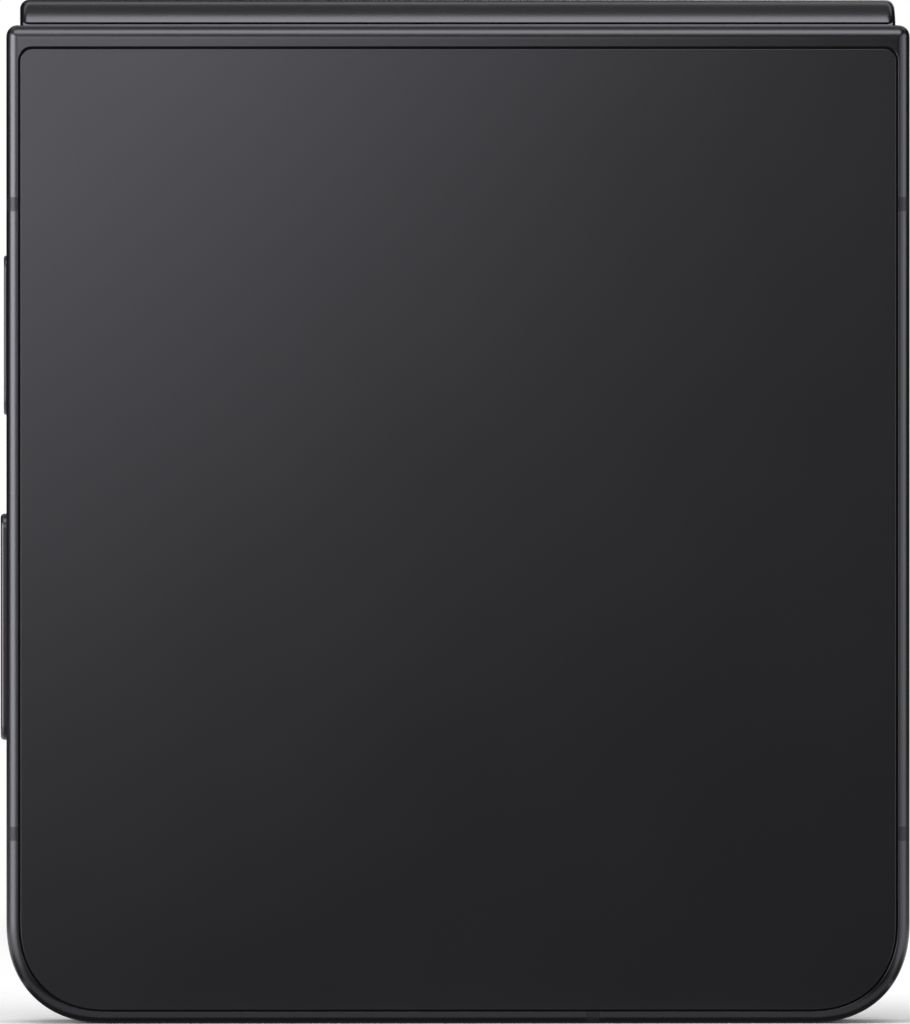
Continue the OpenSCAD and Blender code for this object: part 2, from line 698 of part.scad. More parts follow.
module upper_inner_screen() color([0.04, 0.04, 0.05]) upper() difference() {
    inner_screen();
    front_camera_hole();
}
module upper_screen_backing() color("silver") upper() difference() {
    screen_backing();
    front_camera_hole();
}
module upper_mid_plate() color([0.45, 0.46, 0.48]) upper() difference() {
    mid_plate();
    front_camera_hole();
}
module upper_hinge_plate() color("silver") upper() hinge_plate();
module upper_gear_arms() color("gray") upper() both_sides() gear_arm(0);
module upper_screws() color("darkgray") upper() {
    hinge_screws();
    for (x = board_screw_x)
        rod_v(x, board_screw_z, screw_head_r, v_inside + board_t, v_inside + board_t + screw_head_t);
    for (x = board_screw_x) rod_v(x, board_screw_z, screw_r, v_inside, v_inside + board_t);
}
module upper_battery() color([0.15, 0.15, 0.17]) upper()
    block([-battery_w / 2, battery_w / 2], [v_inside, v_ledge - battery_room], upper_battery_z);
module camera_bay()
    block([camera_x[0] - module_w / 2 - module_gap, camera_x[1] + module_w / 2 + module_gap],
        [0, half_t], [camera_z - module_w / 2 - module_gap, half_len]);
module main_board() color("darkgreen") upper() difference() {
    block([-board_w / 2, board_w / 2], [v_inside, v_inside + board_t], board_z);
    camera_bay();
    for (x = board_screw_x) rod_v(x, board_screw_z, screw_r, 0, half_t);
}
module board_chips() color([0.1, 0.1, 0.1]) upper() {
    for (chip = chips)
        translate([chip[0], v_inside + board_t, chip[1]]) cube([chip[2], chip_t, chip[2]]);
}
module board_shield() color("lightgray") upper() difference() {
    block(shield_x, [v_inside + board_t, v_inside + board_t + shield_h], shield_z);
    block(shield_x + [shield_t, -shield_t], [0, v_inside + board_t + shield_h - shield_t],
        shield_z + [shield_t, -shield_t]);
}
module rear_cameras() color([0.1, 0.1, 0.11]) upper() for (x = camera_x) {
    block([x - module_w / 2, x + module_w / 2], [v_inside, module_v],
        [camera_z - module_w / 2, camera_z + module_w / 2]);
    rod_v(x, camera_z, barrel_r, module_v, v_glass);
    rod_v(x, camera_z, nose_r, v_glass, v_glass + nose_h);
}
module camera_rings() color("dimgray") upper() for (x = camera_x) difference() {
    union() {
        rod_v(x, camera_z, neck_r, v_glass - neck_depth, half_t);
        rod_v(x, camera_z, ring_r, half_t, half_t + ring_proud);
    }
    rod_v(x, camera_z, lens_r - lens_lip, 0, half_t + ring_proud + over);
    rod_v(x, camera_z, lens_r, half_t + ring_proud - lens_sink - lens_t,
        half_t + ring_proud + over);
}
module camera_windows() color([0.05, 0.05, 0.06]) upper() for (x = camera_x)
    rod_v(x, camera_z, lens_r - lens_gap, half_t + ring_proud - lens_sink - lens_t,
        half_t + ring_proud - lens_sink);
module flash_led() color("lightyellow") upper()
    rod_v(flash_x, camera_z, flash_r, v_ledge, v_glass);
module front_camera() color([0.08, 0.08, 0.09]) upper() {
    rod_v(0, front_camera_z, front_camera_r - layer_gap, screen_sink + fit_gap,
        v_inside + eps);
    block([-front_module_w / 2, front_module_w / 2], [v_inside, v_inside + front_module_h], front_module_z);
}
module earpiece() color([0.1, 0.1, 0.1]) upper() {
    block([-earpiece_w / 2, earpiece_w / 2], [v_inside, v_inside + earpiece_h],
        [wall_t + layer_gap, front_module_z[0] - layer_gap]);
    block([-earpiece_slot_w / 2 + fit_gap, earpiece_slot_w / 2 - fit_gap],
        [earpiece_sink, v_inside], [earpiece_z - earpiece_slot_h / 2 + fit_gap,
            earpiece_z + earpiece_slot_h / 2 - fit_gap]);
}
module top_microphone() color("gold") upper() microphone();
// The domes that the keys press, on a thin flex that stands on the mid plate
module key_flex() color("orange") upper() {
    block([-dome_x + dome_t, -dome_x + dome_t + key_flex_t], [v_inside, v_ledge - 2 * layer_gap],
        [volume_z - volume_len / 2, power_z + power_len / 2]);
    for (z = [power_z, volume_z - volume_len / 3, volume_z + volume_len / 3])
        rod_x(v_mid, z, dome_r, -dome_x, -dome_x + dome_t);
}
module key(z, len, proud) color("dimgray") upper() translate([0, v_mid, z]) {
    translate([-w2 - proud, -key_w / 2, -len / 2])
        cube([w2 + proud - key_flange_x + eps, key_w, len]);
    translate([-key_flange_x, -key_w / 2 - key_flange_lap, -len / 2 - key_flange_lap])
        cube([key_flange_t, key_w + 2 * key_flange_lap, len + 2 * key_flange_lap]);
}
module power_key() key(power_z, power_len, power_proud);
module volume_key() key(volume_z, volume_len, volume_proud);
module card_tray() color("dimgray") upper() difference() {
    union() {
        block([w2 - tray_face_t, w2],
            [v_mid - tray_face_w / 2, v_mid + tray_face_w / 2],
            [tray_z - tray_face_len / 2, tray_z + tray_face_len / 2]);
        block([w2 - tray_depth, w2 - tray_face_t],
            [v_mid - tray_body_t / 2, v_mid + tray_body_t / 2],
            [tray_z - tray_body_w / 2, tray_z + tray_body_w / 2]);
    }
    block([w2 - tray_depth + tray_back, w2 - tray_depth + tray_back + card_w],
        [v_mid - tray_floor_v, half_t],
        [tray_z - tray_body_w / 2 + tray_side, tray_z + tray_body_w / 2 - tray_side]);
    rod_x(v_mid, tray_z - tray_face_len / 2 + eject_inset, eject_r,
        w2 - tray_face_t - over, w2 + over);
}
module card_socket() color("silver") upper() difference() {
    block([w2 - tray_depth - socket_room - socket_back, w2 - wall_t - 2 * layer_gap],
        [v_inside + board_t, v_mid + tray_body_t / 2 + fit_gap + socket_wall],
        [tray_z - tray_body_w / 2 - socket_side, tray_z + tray_body_w / 2 + socket_side]);
    block([w2 - tray_depth - socket_room, w2],
        [v_mid - tray_body_t / 2 - fit_gap, v_mid + tray_body_t / 2 + fit_gap],
        [tray_z - tray_body_w / 2 - fit_gap, tray_z + tray_body_w / 2 + fit_gap]);
}

// ---------- hinge ----------

module mirror_y() {
    children();
    mirror([0, 1, 0]) children();
}
// A body with the spine's section: a half drum round each axis and a bar between them, with its
// long edges at the ends rounded by end_r
module spine_solid(r, x, end_r) {
    mirror_y() translate([0, axis_y, axis_z]) rotate([0, 90, 0]) rotate([0, 0, 90])
        rotate_extrude(angle = 90) spine_half_section(r, x, end_r);
    translate([0, axis_y, axis_z]) rotate([90, 0, 0])
        linear_extrude(2 * axis_y) mirror([1, -1]) spine_half_section(r, x, end_r);
}
module spine_half_section(r, x, end_r) {
    translate([0, -x + end_r]) square([r, 2 * (x - end_r)]);
    translate([0, -x]) square([r - end_r, 2 * x]);
    for (side = [-1, 1]) translate([r - end_r, side * (x - end_r)]) circle(end_r);
}
module spine_cover() color("dimgray") {
    difference() {
        spine_solid(spine_r, spine2, spine_end_r);
        block([-shaft_x, shaft_x], [-spine_r - axis_y, spine_r + axis_y],
            [axis_z - over, cover_edge_z]);
        translate([0, axis_y, axis_z]) spine_bore();
        translate([0, -axis_y, axis_z]) spine_bore();
        block([-shaft_x, shaft_x], [-axis_y, axis_y], [axis_z - over, axis_z + cover_in_r]);
    }
    both_sides() block([shaft_x, spine2], [-block_y, block_y], [block_z, axis_z]);
    both_sides() mirror_y()
        rod_x(idler_r, idler_z, idler_pin_r, gear_x0 - layer_gap, shaft_x + eps);
    for (x = spine_screw_x) rod_z(x, 0, boss_r, bridge_z + bridge_t, axis_z + cover_in_r + eps);
}
module spine_bore() rod_x(0, 0, cover_in_r, -shaft_x, shaft_x);
// The bracket holds both shafts at its posts and straddles the folded screen
module bracket_post(x0, x1) difference() {
    block([x0, x1], [-block_y, block_y], [block_z, bridge_z + eps]);
    block([x0 - over, x1 + over], [-slot_y, slot_y], [block_z - over, slot_z]);
    mirror_y() rod_x(axis_y, axis_z, shaft_r, x0 - over, x1 + over);
}
module spine_bracket() color([0.4, 0.41, 0.43]) difference() {
    union() {
        block([-end_block_x1, end_block_x1], [-bridge_y, bridge_y], [bridge_z, bridge_z + bridge_t]);
        both_sides() bracket_post(end_block_x0, end_block_x1);
        both_sides() bracket_post(mid_block_x0, mid_block_x1);
        bracket_post(-centre_block_x, centre_block_x);
    }
    for (x = spine_screw_x) rod_z(x, 0, screw_r, bridge_z - over, bridge_z + bridge_t + over);
}
module hinge_shafts() color("silver")
    mirror_y() rod_x(axis_y, axis_z, shaft_r, -shaft_x, shaft_x);
module brake_tube(r, x0, x1) difference() {
    rod_x(axis_y, axis_z, r, x0, x1);
    rod_x(axis_y, axis_z, shaft_r + shaft_gap, x0 - over, x1 + over);
}
module brake_bushes() color("goldenrod")
    both_sides() mirror_y() brake_tube(knuckle_r, brake_x1 - brake_len, brake_x1);
module brake_springs() color("gray") both_sides() mirror_y() for (i = [0:washer_count - 1]) {
    x = mid_block_x1 + spring_gap + i * washer_pitch;
    brake_tube(i % 2 == 0 ? knuckle_r : knuckle_r - layer_gap, x, x + washer_pitch - spring_gap);
}
module spine_screws() color("darkgray") for (x = spine_screw_x) {
    rod_z(x, 0, screw_head_r, bridge_z - screw_head_t, bridge_z);
    rod_z(x, 0, screw_r, bridge_z, bridge_z + bridge_t);
}
module rear_idler_gears() color("silver") both_sides() idler(gear_x0, 0);
module front_idler_gears() color("silver") mirror([0, 1, 0]) both_sides() idler(gear_x0, 0.5);
// A strip that goes up one half, over the shafts' middle and down the other, in (y, z)
module loop_section(y, rise, t, z) difference() {
    union() {
        translate([0, axis_z]) ellipse(y + t / 2, rise + t / 2);
        translate([-y - t / 2, z]) square([2 * y + t, axis_z - z]);
    }
    translate([0, axis_z]) ellipse(y - t / 2, rise - t / 2);
    translate([-y + t / 2, z - over]) square([2 * y - t, axis_z - z + over]);
}
// An ellipse with half axes a and b, as a polygon
module ellipse(a, b) polygon([for (k = [0:loop_steps - 1])
    let (angle = k * 360 / loop_steps) [a * cos(angle), b * sin(angle)]]);
module fold_screen() color([0.04, 0.04, 0.05]) along_x(-screen_w / 2, screen_w / 2)
    loop_section(loop_y, loop_rise, screen_t, fold_z);
module hinge_flexes() color("orange") both_sides()
    along_x(flex_x - flex_w / 2, flex_x + flex_w / 2)
        loop_section(flex_y, flex_rise, flex_t, flex_z);

lower_frame();
lower_antenna_breaks();
rear_glass();
rear_glass_seal();
lower_screen_rim();
lower_inner_screen();
lower_screen_backing();
lower_mid_plate();
lower_hinge_plate();
lower_gear_arms();
lower_battery();
charging_coil();
coil_ferrite();
sub_board();
charging_port();
charging_port_tongue();
loudspeaker();
loudspeaker_mesh();
vibration_motor();
bottom_microphone();
lower_screws();
upper_frame();
upper_antenna_breaks();
cover_glass();
cover_glass_seal();
cover_screen();
upper_screen_rim();
screen_bumpers();
upper_inner_screen();
upper_screen_backing();
upper_mid_plate();
upper_hinge_plate();
upper_gear_arms();
upper_battery();
main_board();
board_chips();
board_shield();
rear_cameras();
camera_rings();
camera_windows();
flash_led();
front_camera();
earpiece();
top_microphone();
key_flex();
card_socket();
upper_screws();
power_key();
volume_key();
card_tray();
spine_cover();
spine_bracket();
hinge_shafts();
brake_springs();
brake_bushes();
spine_screws();
rear_idler_gears();
front_idler_gears();
fold_screen();
hinge_flexes();
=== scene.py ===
"""Flip phone, shut and standing on its free ends. Lengths are millimetres until a piece is finished."""
import json
import math
import bpy
import bmesh
from mathutils import Matrix, Vector


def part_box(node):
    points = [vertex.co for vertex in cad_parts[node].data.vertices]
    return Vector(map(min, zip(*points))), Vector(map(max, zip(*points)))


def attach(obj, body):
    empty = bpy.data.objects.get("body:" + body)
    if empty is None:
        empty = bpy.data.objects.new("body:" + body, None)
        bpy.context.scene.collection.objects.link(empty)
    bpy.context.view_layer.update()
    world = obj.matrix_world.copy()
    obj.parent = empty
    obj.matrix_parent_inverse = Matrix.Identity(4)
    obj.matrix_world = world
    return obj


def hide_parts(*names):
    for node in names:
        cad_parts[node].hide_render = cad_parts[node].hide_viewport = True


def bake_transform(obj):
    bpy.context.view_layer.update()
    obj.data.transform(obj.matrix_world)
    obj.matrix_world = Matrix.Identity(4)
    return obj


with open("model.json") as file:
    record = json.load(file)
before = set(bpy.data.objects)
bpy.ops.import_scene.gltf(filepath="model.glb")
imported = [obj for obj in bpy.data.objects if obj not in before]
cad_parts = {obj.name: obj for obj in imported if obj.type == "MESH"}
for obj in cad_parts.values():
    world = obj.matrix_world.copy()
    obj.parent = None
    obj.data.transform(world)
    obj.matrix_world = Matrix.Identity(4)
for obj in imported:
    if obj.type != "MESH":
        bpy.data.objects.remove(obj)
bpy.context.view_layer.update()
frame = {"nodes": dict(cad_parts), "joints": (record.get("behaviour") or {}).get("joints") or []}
MM = 0.001
JOINTS = {j["name"]: j for j in frame["joints"]}


def mm_box(node):
    """Lowest and highest corner of a CAD node, in millimetres."""
    lo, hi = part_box(node)
    return [c / MM for c in lo], [c / MM for c in hi]


# ---------- sizes, from the frame where it has them ----------
# A half is drawn in (x, v, z): v is the depth from the face that folds shut, z the height over the free end.
frame_lo, frame_hi = mm_box("upper_frame")
HALF_W = frame_hi[0]
HALF_LEN = frame_hi[2]
FACE_Y = frame_lo[1]
HALF_T = frame_hi[1] - frame_lo[1]
AXIS_Y, AXIS_Z = (c / MM for c in JOINTS["spine_fold"]["pos_m"][1:])
AXIS_V = AXIS_Y - FACE_Y
AXIS_TO_END = HALF_LEN - AXIS_Z
# The drawn frame ends a little below the end of the CAD's.
FRAME_TOP = HALF_LEN - 0.21

# Spine: the shell's radius is SPINE_TRIM less than the CAD's, and its lower edge is SPINE_EDGE over the axes.
SPINE_HALF_W = mm_box("spine_cover")[1][0]
SPINE_R = mm_box("spine_cover")[1][2] - AXIS_Z
SPINE_TRIM = 0.13
SPINE_END_R = 0.78
SPINE_WALL = 0.6
SPINE_END_WALL = 0.7
SPINE_EDGE = 0.25
SPINE_GAP = 0.12
GROOVE_Z = (FRAME_TOP - 0.7, FRAME_TOP + 0.25)
GROOVE_DEPTH = 0.2
LUG_HALF_T = 1.3
LUG_DROP = 0.7
LUG_SINK = 0.2
POCKET_R = SPINE_R + SPINE_GAP
POCKET_Z = AXIS_Z - POCKET_R
BEAM_Z = POCKET_Z - 1.2
BEAM_INSET = FRAME_TOP - BEAM_Z

# Outline of a half: the free end's corners are superellipses, those at the hinge are small arcs.
CORNER_A = 8.4
CORNER_N = 2.25
TOP_CORNER_R = 0.95
LEAST_R = 0.05
# Rounds at the glass face, at the sides and free end and at the hinge, and the round at the fold face
EDGE_R = 1.1
EDGE_R_TOP = 1.15
FOLD_EDGE_R = 0.3

# Depths and widths of the frame's steps
V_INSIDE = 1.5
V_LEDGE = 4.9
V_SEAT = 5.9
V_GLASS = 6.0
V_MID = HALF_T / 2
RIM_W = 0.98
JOINT_W = 0.2
RIM_TOP = 1.8
SEAT_R = 1.18
LIP = 0.05
SEAL_SINK = 0.25
GLASS_EDGE_W, GLASS_EDGE_H = 0.05, 0.04
WALL_T = 1.6
LEDGE_W = 2.8
INNER_R = 1.0
SCREEN_INSET = 3.0
SCREEN_FIT = 0.05
SCREEN_R = 0.02

# Gear arms of the hinge, which lie in pockets of both frames
ARM_X0 = HALF_W - SCREEN_INSET + 0.15
ARM_X1 = ARM_X0 + 0.9
ARM_V = (AXIS_V - 0.96, AXIS_V + 0.08)
ARM_GAP = 0.12
ARM_V_GAP = 0.1
ARM_FOOT_W = 1.05
PLATE_Z = HALF_LEN - 13.5
ARM_FOOT_Z1 = PLATE_Z + 4.6
ARM_FOOT_GAP = 0.2

# Antenna breaks: two in each side wall and one in the free end
BREAK_W = 1.17
BREAK_Z = (15.8, 68.2)
BREAK_X = 11.2

# Openings in the free ends
FIT = 0.05
FLARE = 0.06
PORT = (8.34, 2.56)
PORT_WALL = 0.3
PORT_DEPTH = 7.6
MIC_R = 0.4
SOUND_X0, SOUND_PITCH, SOUND_COUNT, SOUND_R = 14.5, 2.2, 6, 0.55
EAR_W, EAR_H = 9.0, 0.6
EAR_Z = 2.2

# Keys, with the radius of each key's outer edge, and the card tray
KEYS = {"power_key": 0.2, "volume_key": 0.33}
KEY_W = 2.6
KEY_R = 1.2
KEY_GAP = 0.08
KEY_FLANGE_W = 0.3
KEY_FLANGE_T = 0.25
TRAY_Z = sum(c[2] for c in mm_box("card_tray")) / 2
TRAY_FACE = (14.0, 2.4)
TRAY_R = 1.15
TRAY_FACE_T = 1.0
TRAY_FLARE = 0.04
TRAY_EDGE_R = 0.05
TRAY_LEN, TRAY_W, TRAY_T = 14, 12.6, 0.9
CARD_X = (HALF_W - 13.2, HALF_W - 4.4)
CARD_W = 11.4
CARD_FLOOR = 0.2
PIN_Z, PIN_R = TRAY_Z - 5.9, 0.4

# Cameras
rings_lo, rings_hi = mm_box("camera_rings")
CAMERA_HOLE_R = 5.1
RING_R = (rings_hi[2] - rings_lo[2]) / 2
RING_NECK_R = 5.0
RING_BORE_R = 3.7
RING_EDGE_R = 0.28
RING_TOP = rings_hi[1] - FACE_Y - 0.001
WINDOW_DROP = 0.1
WINDOW_SEAT = 0.4
CAMERA_Z = (rings_lo[2] + rings_hi[2]) / 2
CAMERA_X = (rings_lo[0] + RING_R, rings_hi[0] - RING_R)
LENS_R, LENS_RISE = 1.98, 0.42

# The bands that bend with the fold, between the halves' end of the blend and the spine's
FOLD_X = HALF_W - SCREEN_INSET
FOLD_Z0 = mm_box("fold_screen")[0][2]
FOLD_STEP = 0.12
SCREEN_V = (0.2, 0.5)
BLEND_Z0, BLEND_Z1 = 79.2, 89.2
FLEX_W, FLEX_T = 4.0, 0.12
flexes_lo, flexes_hi = mm_box("hinge_flexes")
FLEX_Z0 = flexes_lo[2]
FLEX_V = (flexes_hi[1] - FACE_Y - FLEX_T, flexes_hi[1] - FACE_Y)
FLEX_X = (flexes_hi[0] - FLEX_W, flexes_hi[0])

# Cutters go OVER past an open face and overlap each other by CUT.
OVER = 1
CUT = 0.01
# The smallest radius of a solid of revolution, which keeps its middle closed
TIP_R = 0.02

# ---------- mesh helpers ----------


def link(name, bm):
    """A new object from a bmesh, in millimetres."""
    bm.normal_update()
    mesh = bpy.data.meshes.new(name)
    bm.to_mesh(mesh)
    bm.free()
    obj = bpy.data.objects.new(name, mesh)
    bpy.context.scene.collection.objects.link(obj)
    return obj


def loft(loops, closed=False, name="part"):
    """A solid through loops of (x, y, z) points, capped at both ends, or a ring if closed."""
    bm = bmesh.new()
    rows = [[bm.verts.new(p) for p in loop] for loop in loops]
    pairs = list(zip(rows, rows[1:])) + ([(rows[-1], rows[0])] if closed else [])
    for a, b in pairs:
        for i in range(len(a)):
            j = (i + 1) % len(a)
            bm.faces.new((a[i], a[j], b[j], b[i]))
    if not closed:
        bm.faces.new(rows[0][::-1])
        bm.faces.new(rows[-1])
    bmesh.ops.recalc_face_normals(bm, faces=bm.faces)
    return link(name, bm)


def box(x, y, z, name="box"):
    """A block between two values on each axis."""
    base = [(x[0], y[0]), (x[1], y[0]), (x[1], y[1]), (x[0], y[1])]
    return loft([[(a, b, h) for a, b in base] for h in z], name=name)


def prism_x(points, x0, x1):
    """A prism along X through points (y, z)."""
    return loft([[(x, y, z) for y, z in points] for x in (x0, x1)])


def turned(profile, x, z, steps=96):
    """A closed profile of (r, v) turned about the line through (x, z) along Y."""
    loops = []
    for k in range(steps):
        a = 2 * math.pi * k / steps
        loops.append([(x + r * math.cos(a), v, z + r * math.sin(a)) for r, v in profile])
    return loft(loops, closed=True)


def disc(profile, x, z, steps=96):
    """A solid of revolution whose profile of (r, v) starts and ends near the axis, capped there."""
    loops = []
    for r, v in profile:
        loops.append([(x + r * math.cos(2 * math.pi * k / steps), v,
                       z + r * math.sin(2 * math.pi * k / steps)) for k in range(steps)])
    return loft(loops)


def rod(axis, centre, r, span, steps=48):
    """A cylinder along X, Y or Z. centre holds the other two coordinates, in order."""
    loops = []
    for h in span:
        loop = []
        for k in range(steps):
            a = 2 * math.pi * k / steps
            p = [centre[0] + r * math.cos(a), centre[1] + r * math.sin(a)]
            p.insert("XYZ".index(axis), h)
            loop.append(tuple(p))
        loops.append(loop)
    return loft(loops)


def drop(obj):
    """Removes an object and its mesh."""
    mesh = obj.data
    bpy.data.objects.remove(obj)
    bpy.data.meshes.remove(mesh)


def boolean(target, cutters, operation="DIFFERENCE"):
    """Applies the cutters to target and removes them."""
    for cutter in cutters:
        step = target.modifiers.new("step", "BOOLEAN")
        step.object = cutter
        step.operation = operation
        step.solver = "MANIFOLD"
    graph = bpy.context.evaluated_depsgraph_get()
    mesh = bpy.data.meshes.new_from_object(target.evaluated_get(graph))
    old = target.data
    target.modifiers.clear()
    target.data = mesh
    bpy.data.meshes.remove(old)
    for cutter in cutters:
        drop(cutter)
    return target


def joined(objs):
    """One object with the faces of all."""
    bm = bmesh.new()
    for obj in objs:
        bm.from_mesh(obj.data)
    for obj in objs:
        drop(obj)
    return link("joined", bm)


def on_half(obj, side):
    """Moves a piece drawn in (x, v, z) to its half: side is 1 for the upper half, -1 for the lower."""
    for v in obj.data.vertices:
        v.co.y = side * (FACE_Y + v.co.y)
    if side < 0:
        obj.data.flip_normals()
    return obj


def in_metres(obj):
    """Scales a mesh drawn in millimetres."""
    for v in obj.data.vertices:
        v.co *= MM


def dress(obj, name, material, replaces, sharp):
    """Scales and smooths a piece up to edges of sharp degrees, gives it its name and finish, and hides the
    CAD nodes it replaces.
    """
    obj.name = name
    obj.data.name = name
    in_metres(obj)
    for p in obj.data.polygons:
        p.use_smooth = True
    obj.data.set_sharp_from_angle(angle=math.radians(sharp))
    obj.data.materials.clear()
    obj.data.materials.append(material)
    if replaces:
        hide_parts(*replaces)


def finish_mesh(obj, name, body, material, replaces=()):
    """Finishes a rigid piece, which rides on one body."""
    dress(obj, name, material, replaces, sharp=30)
    normals = obj.modifiers.new("normals", "WEIGHTED_NORMAL")
    normals.keep_sharp = True
    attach(obj, body)


def blended(obj, name, material, replaces=()):
    """Finishes a band drawn in its bent shape when shut; it rides on no body."""
    dress(obj, name, material, replaces, sharp=40)
    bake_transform(obj)


# ---------- outlines ----------


def outline(side, bottom, top, top_r, v):
    """The half's outline moved in by side, bottom and top, as points (x, v, z)."""
    ax, az = CORNER_A - side, CORNER_A - bottom
    cx, cz = HALF_W - CORNER_A, CORNER_A
    steps = 28
    right = []
    for k in range(steps + 1):
        t = math.pi / 2 * k / steps
        right.append((cx + ax * math.sin(t) ** (2 / CORNER_N), cz - az * math.cos(t) ** (2 / CORNER_N)))
    tx, tz = HALF_W - side - top_r, FRAME_TOP - top - top_r
    for k in range(9):
        t = math.pi / 2 * k / 8
        right.append((tx + top_r * math.cos(t), tz + top_r * math.sin(t)))
    left = [(-x, z) for x, z in reversed(right)]
    return [(x, v, z) for x, z in right + left]


def inset_outline(d, v, top=None, top_r=None):
    """The outline moved in by d all round, or by top at the hinge, with top_r as its radius there."""
    if top is None:
        top = d
    if top_r is None:
        top_r = max(TOP_CORNER_R - d, LEAST_R)
    return outline(d, d, top, top_r, v)


def pill(length, width, r, grow=0):
    """A rounded rectangle centred on the origin, long way first."""
    a, b, r = length / 2 + grow, width / 2 + grow, r + grow
    pts = []
    for cx, cy, start in ((a - r, b - r, 0), (-a + r, b - r, 1), (-a + r, -b + r, 2), (a - r, -b + r, 3)):
        for k in range(9):
            t = math.pi / 2 * (start + k / 8)
            pts.append((cx + r * math.cos(t), cy + r * math.sin(t)))
    return pts


# ---------- materials ----------
GRAIN_DEPTH = 0.02


def new_material(name):
    """A node material with its node tree's nodes and links, and its shader."""
    mat = bpy.data.materials.new(name)
    mat.use_nodes = True
    nodes, links = mat.node_tree.nodes, mat.node_tree.links
    return mat, nodes, links, nodes["Principled BSDF"]


def noise(nodes, links, scale, detail, stretch=(1, 1, 1)):
    """Noise in the object's own space. scale is per metre."""
    coord = nodes.new("ShaderNodeTexCoord")
    mapping = nodes.new("ShaderNodeMapping")
    mapping.inputs["Scale"].default_value = stretch
    tex = nodes.new("ShaderNodeTexNoise")
    tex.inputs["Scale"].default_value = scale
    tex.inputs["Detail"].default_value = detail
    links.new(coord.outputs["Object"], mapping.inputs["Vector"])
    links.new(mapping.outputs["Vector"], tex.inputs["Vector"])
    return tex


def ranged(nodes, links, source, low, high):
    """Maps a noise, which lies mostly between 0.3 and 0.7, to low to high."""
    node = nodes.new("ShaderNodeMapRange")
    node.inputs["From Min"].default_value = 0.3
    node.inputs["From Max"].default_value = 0.7
    node.inputs["To Min"].default_value = low
    node.inputs["To Max"].default_value = high
    links.new(source, node.inputs["Value"])
    return node.outputs["Result"]


def tinted(nodes, links, source, dark, light):
    """Mixes two colours by a 0 to 1 value."""
    mix = nodes.new("ShaderNodeMix")
    mix.data_type = "RGBA"
    mix.inputs["A"].default_value = (*dark, 1)
    mix.inputs["B"].default_value = (*light, 1)
    links.new(source, mix.inputs["Factor"])
    return mix.outputs["Result"]


def surface(name, color, spread, rough, rough_spread, grain, bump, metallic=0.0, stretch=(1, 1, 1),
            specular=0.5, coat=0.0, patch=60.0, tint=(1, 1, 1)):
    """A procedural surface: fine grain in the bump, slow patches in colour and roughness.

    grain and patch are the scales of the two noises per metre, and tint is the colour of the gloss."""
    mat, nodes, links, shader = new_material(name)
    fine = noise(nodes, links, grain, 3.0, stretch)
    slow = noise(nodes, links, patch, 4.0)
    dark = [c * (1 - spread) for c in color]
    light = [min(c * (1 + spread), 1) for c in color]
    links.new(tinted(nodes, links, slow.outputs["Fac"], dark, light), shader.inputs["Base Color"])
    links.new(ranged(nodes, links, slow.outputs["Fac"], rough - rough_spread, rough + rough_spread),
              shader.inputs["Roughness"])
    relief = nodes.new("ShaderNodeBump")
    relief.inputs["Strength"].default_value = bump
    relief.inputs["Distance"].default_value = GRAIN_DEPTH * MM
    links.new(fine.outputs["Fac"], relief.inputs["Height"])
    links.new(relief.outputs["Normal"], shader.inputs["Normal"])
    shader.inputs["Metallic"].default_value = metallic
    shader.inputs["Specular IOR Level"].default_value = specular
    shader.inputs["Specular Tint"].default_value = (*tint, 1)
    shader.inputs["Coat Weight"].default_value = coat
    shader.inputs["Coat Roughness"].default_value = 0.05
    return mat


def clear_glass(name, tint, rough=0.02):
    """Thin clear glass: a tinted pane that shows what lies behind it."""
    mat, nodes, links, shader = new_material(name)
    slow = noise(nodes, links, 90.0, 3.0)
    shader.inputs["Base Color"].default_value = (*tint, 1)
    links.new(ranged(nodes, links, slow.outputs["Fac"], rough, rough + 0.03), shader.inputs["Roughness"])
    shader.inputs["Transmission Weight"].default_value = 1.0
    shader.inputs["IOR"].default_value = 1.5
    return mat


GRAPHITE = (0.0885, 0.087, 0.0965)


def satin_graphite(name, rough):
    """The metal of the outside."""
    return surface(name, GRAPHITE, spread=0.03, metallic=1.0, rough=rough, rough_spread=0.015,
                   grain=30000.0, bump=0.01)


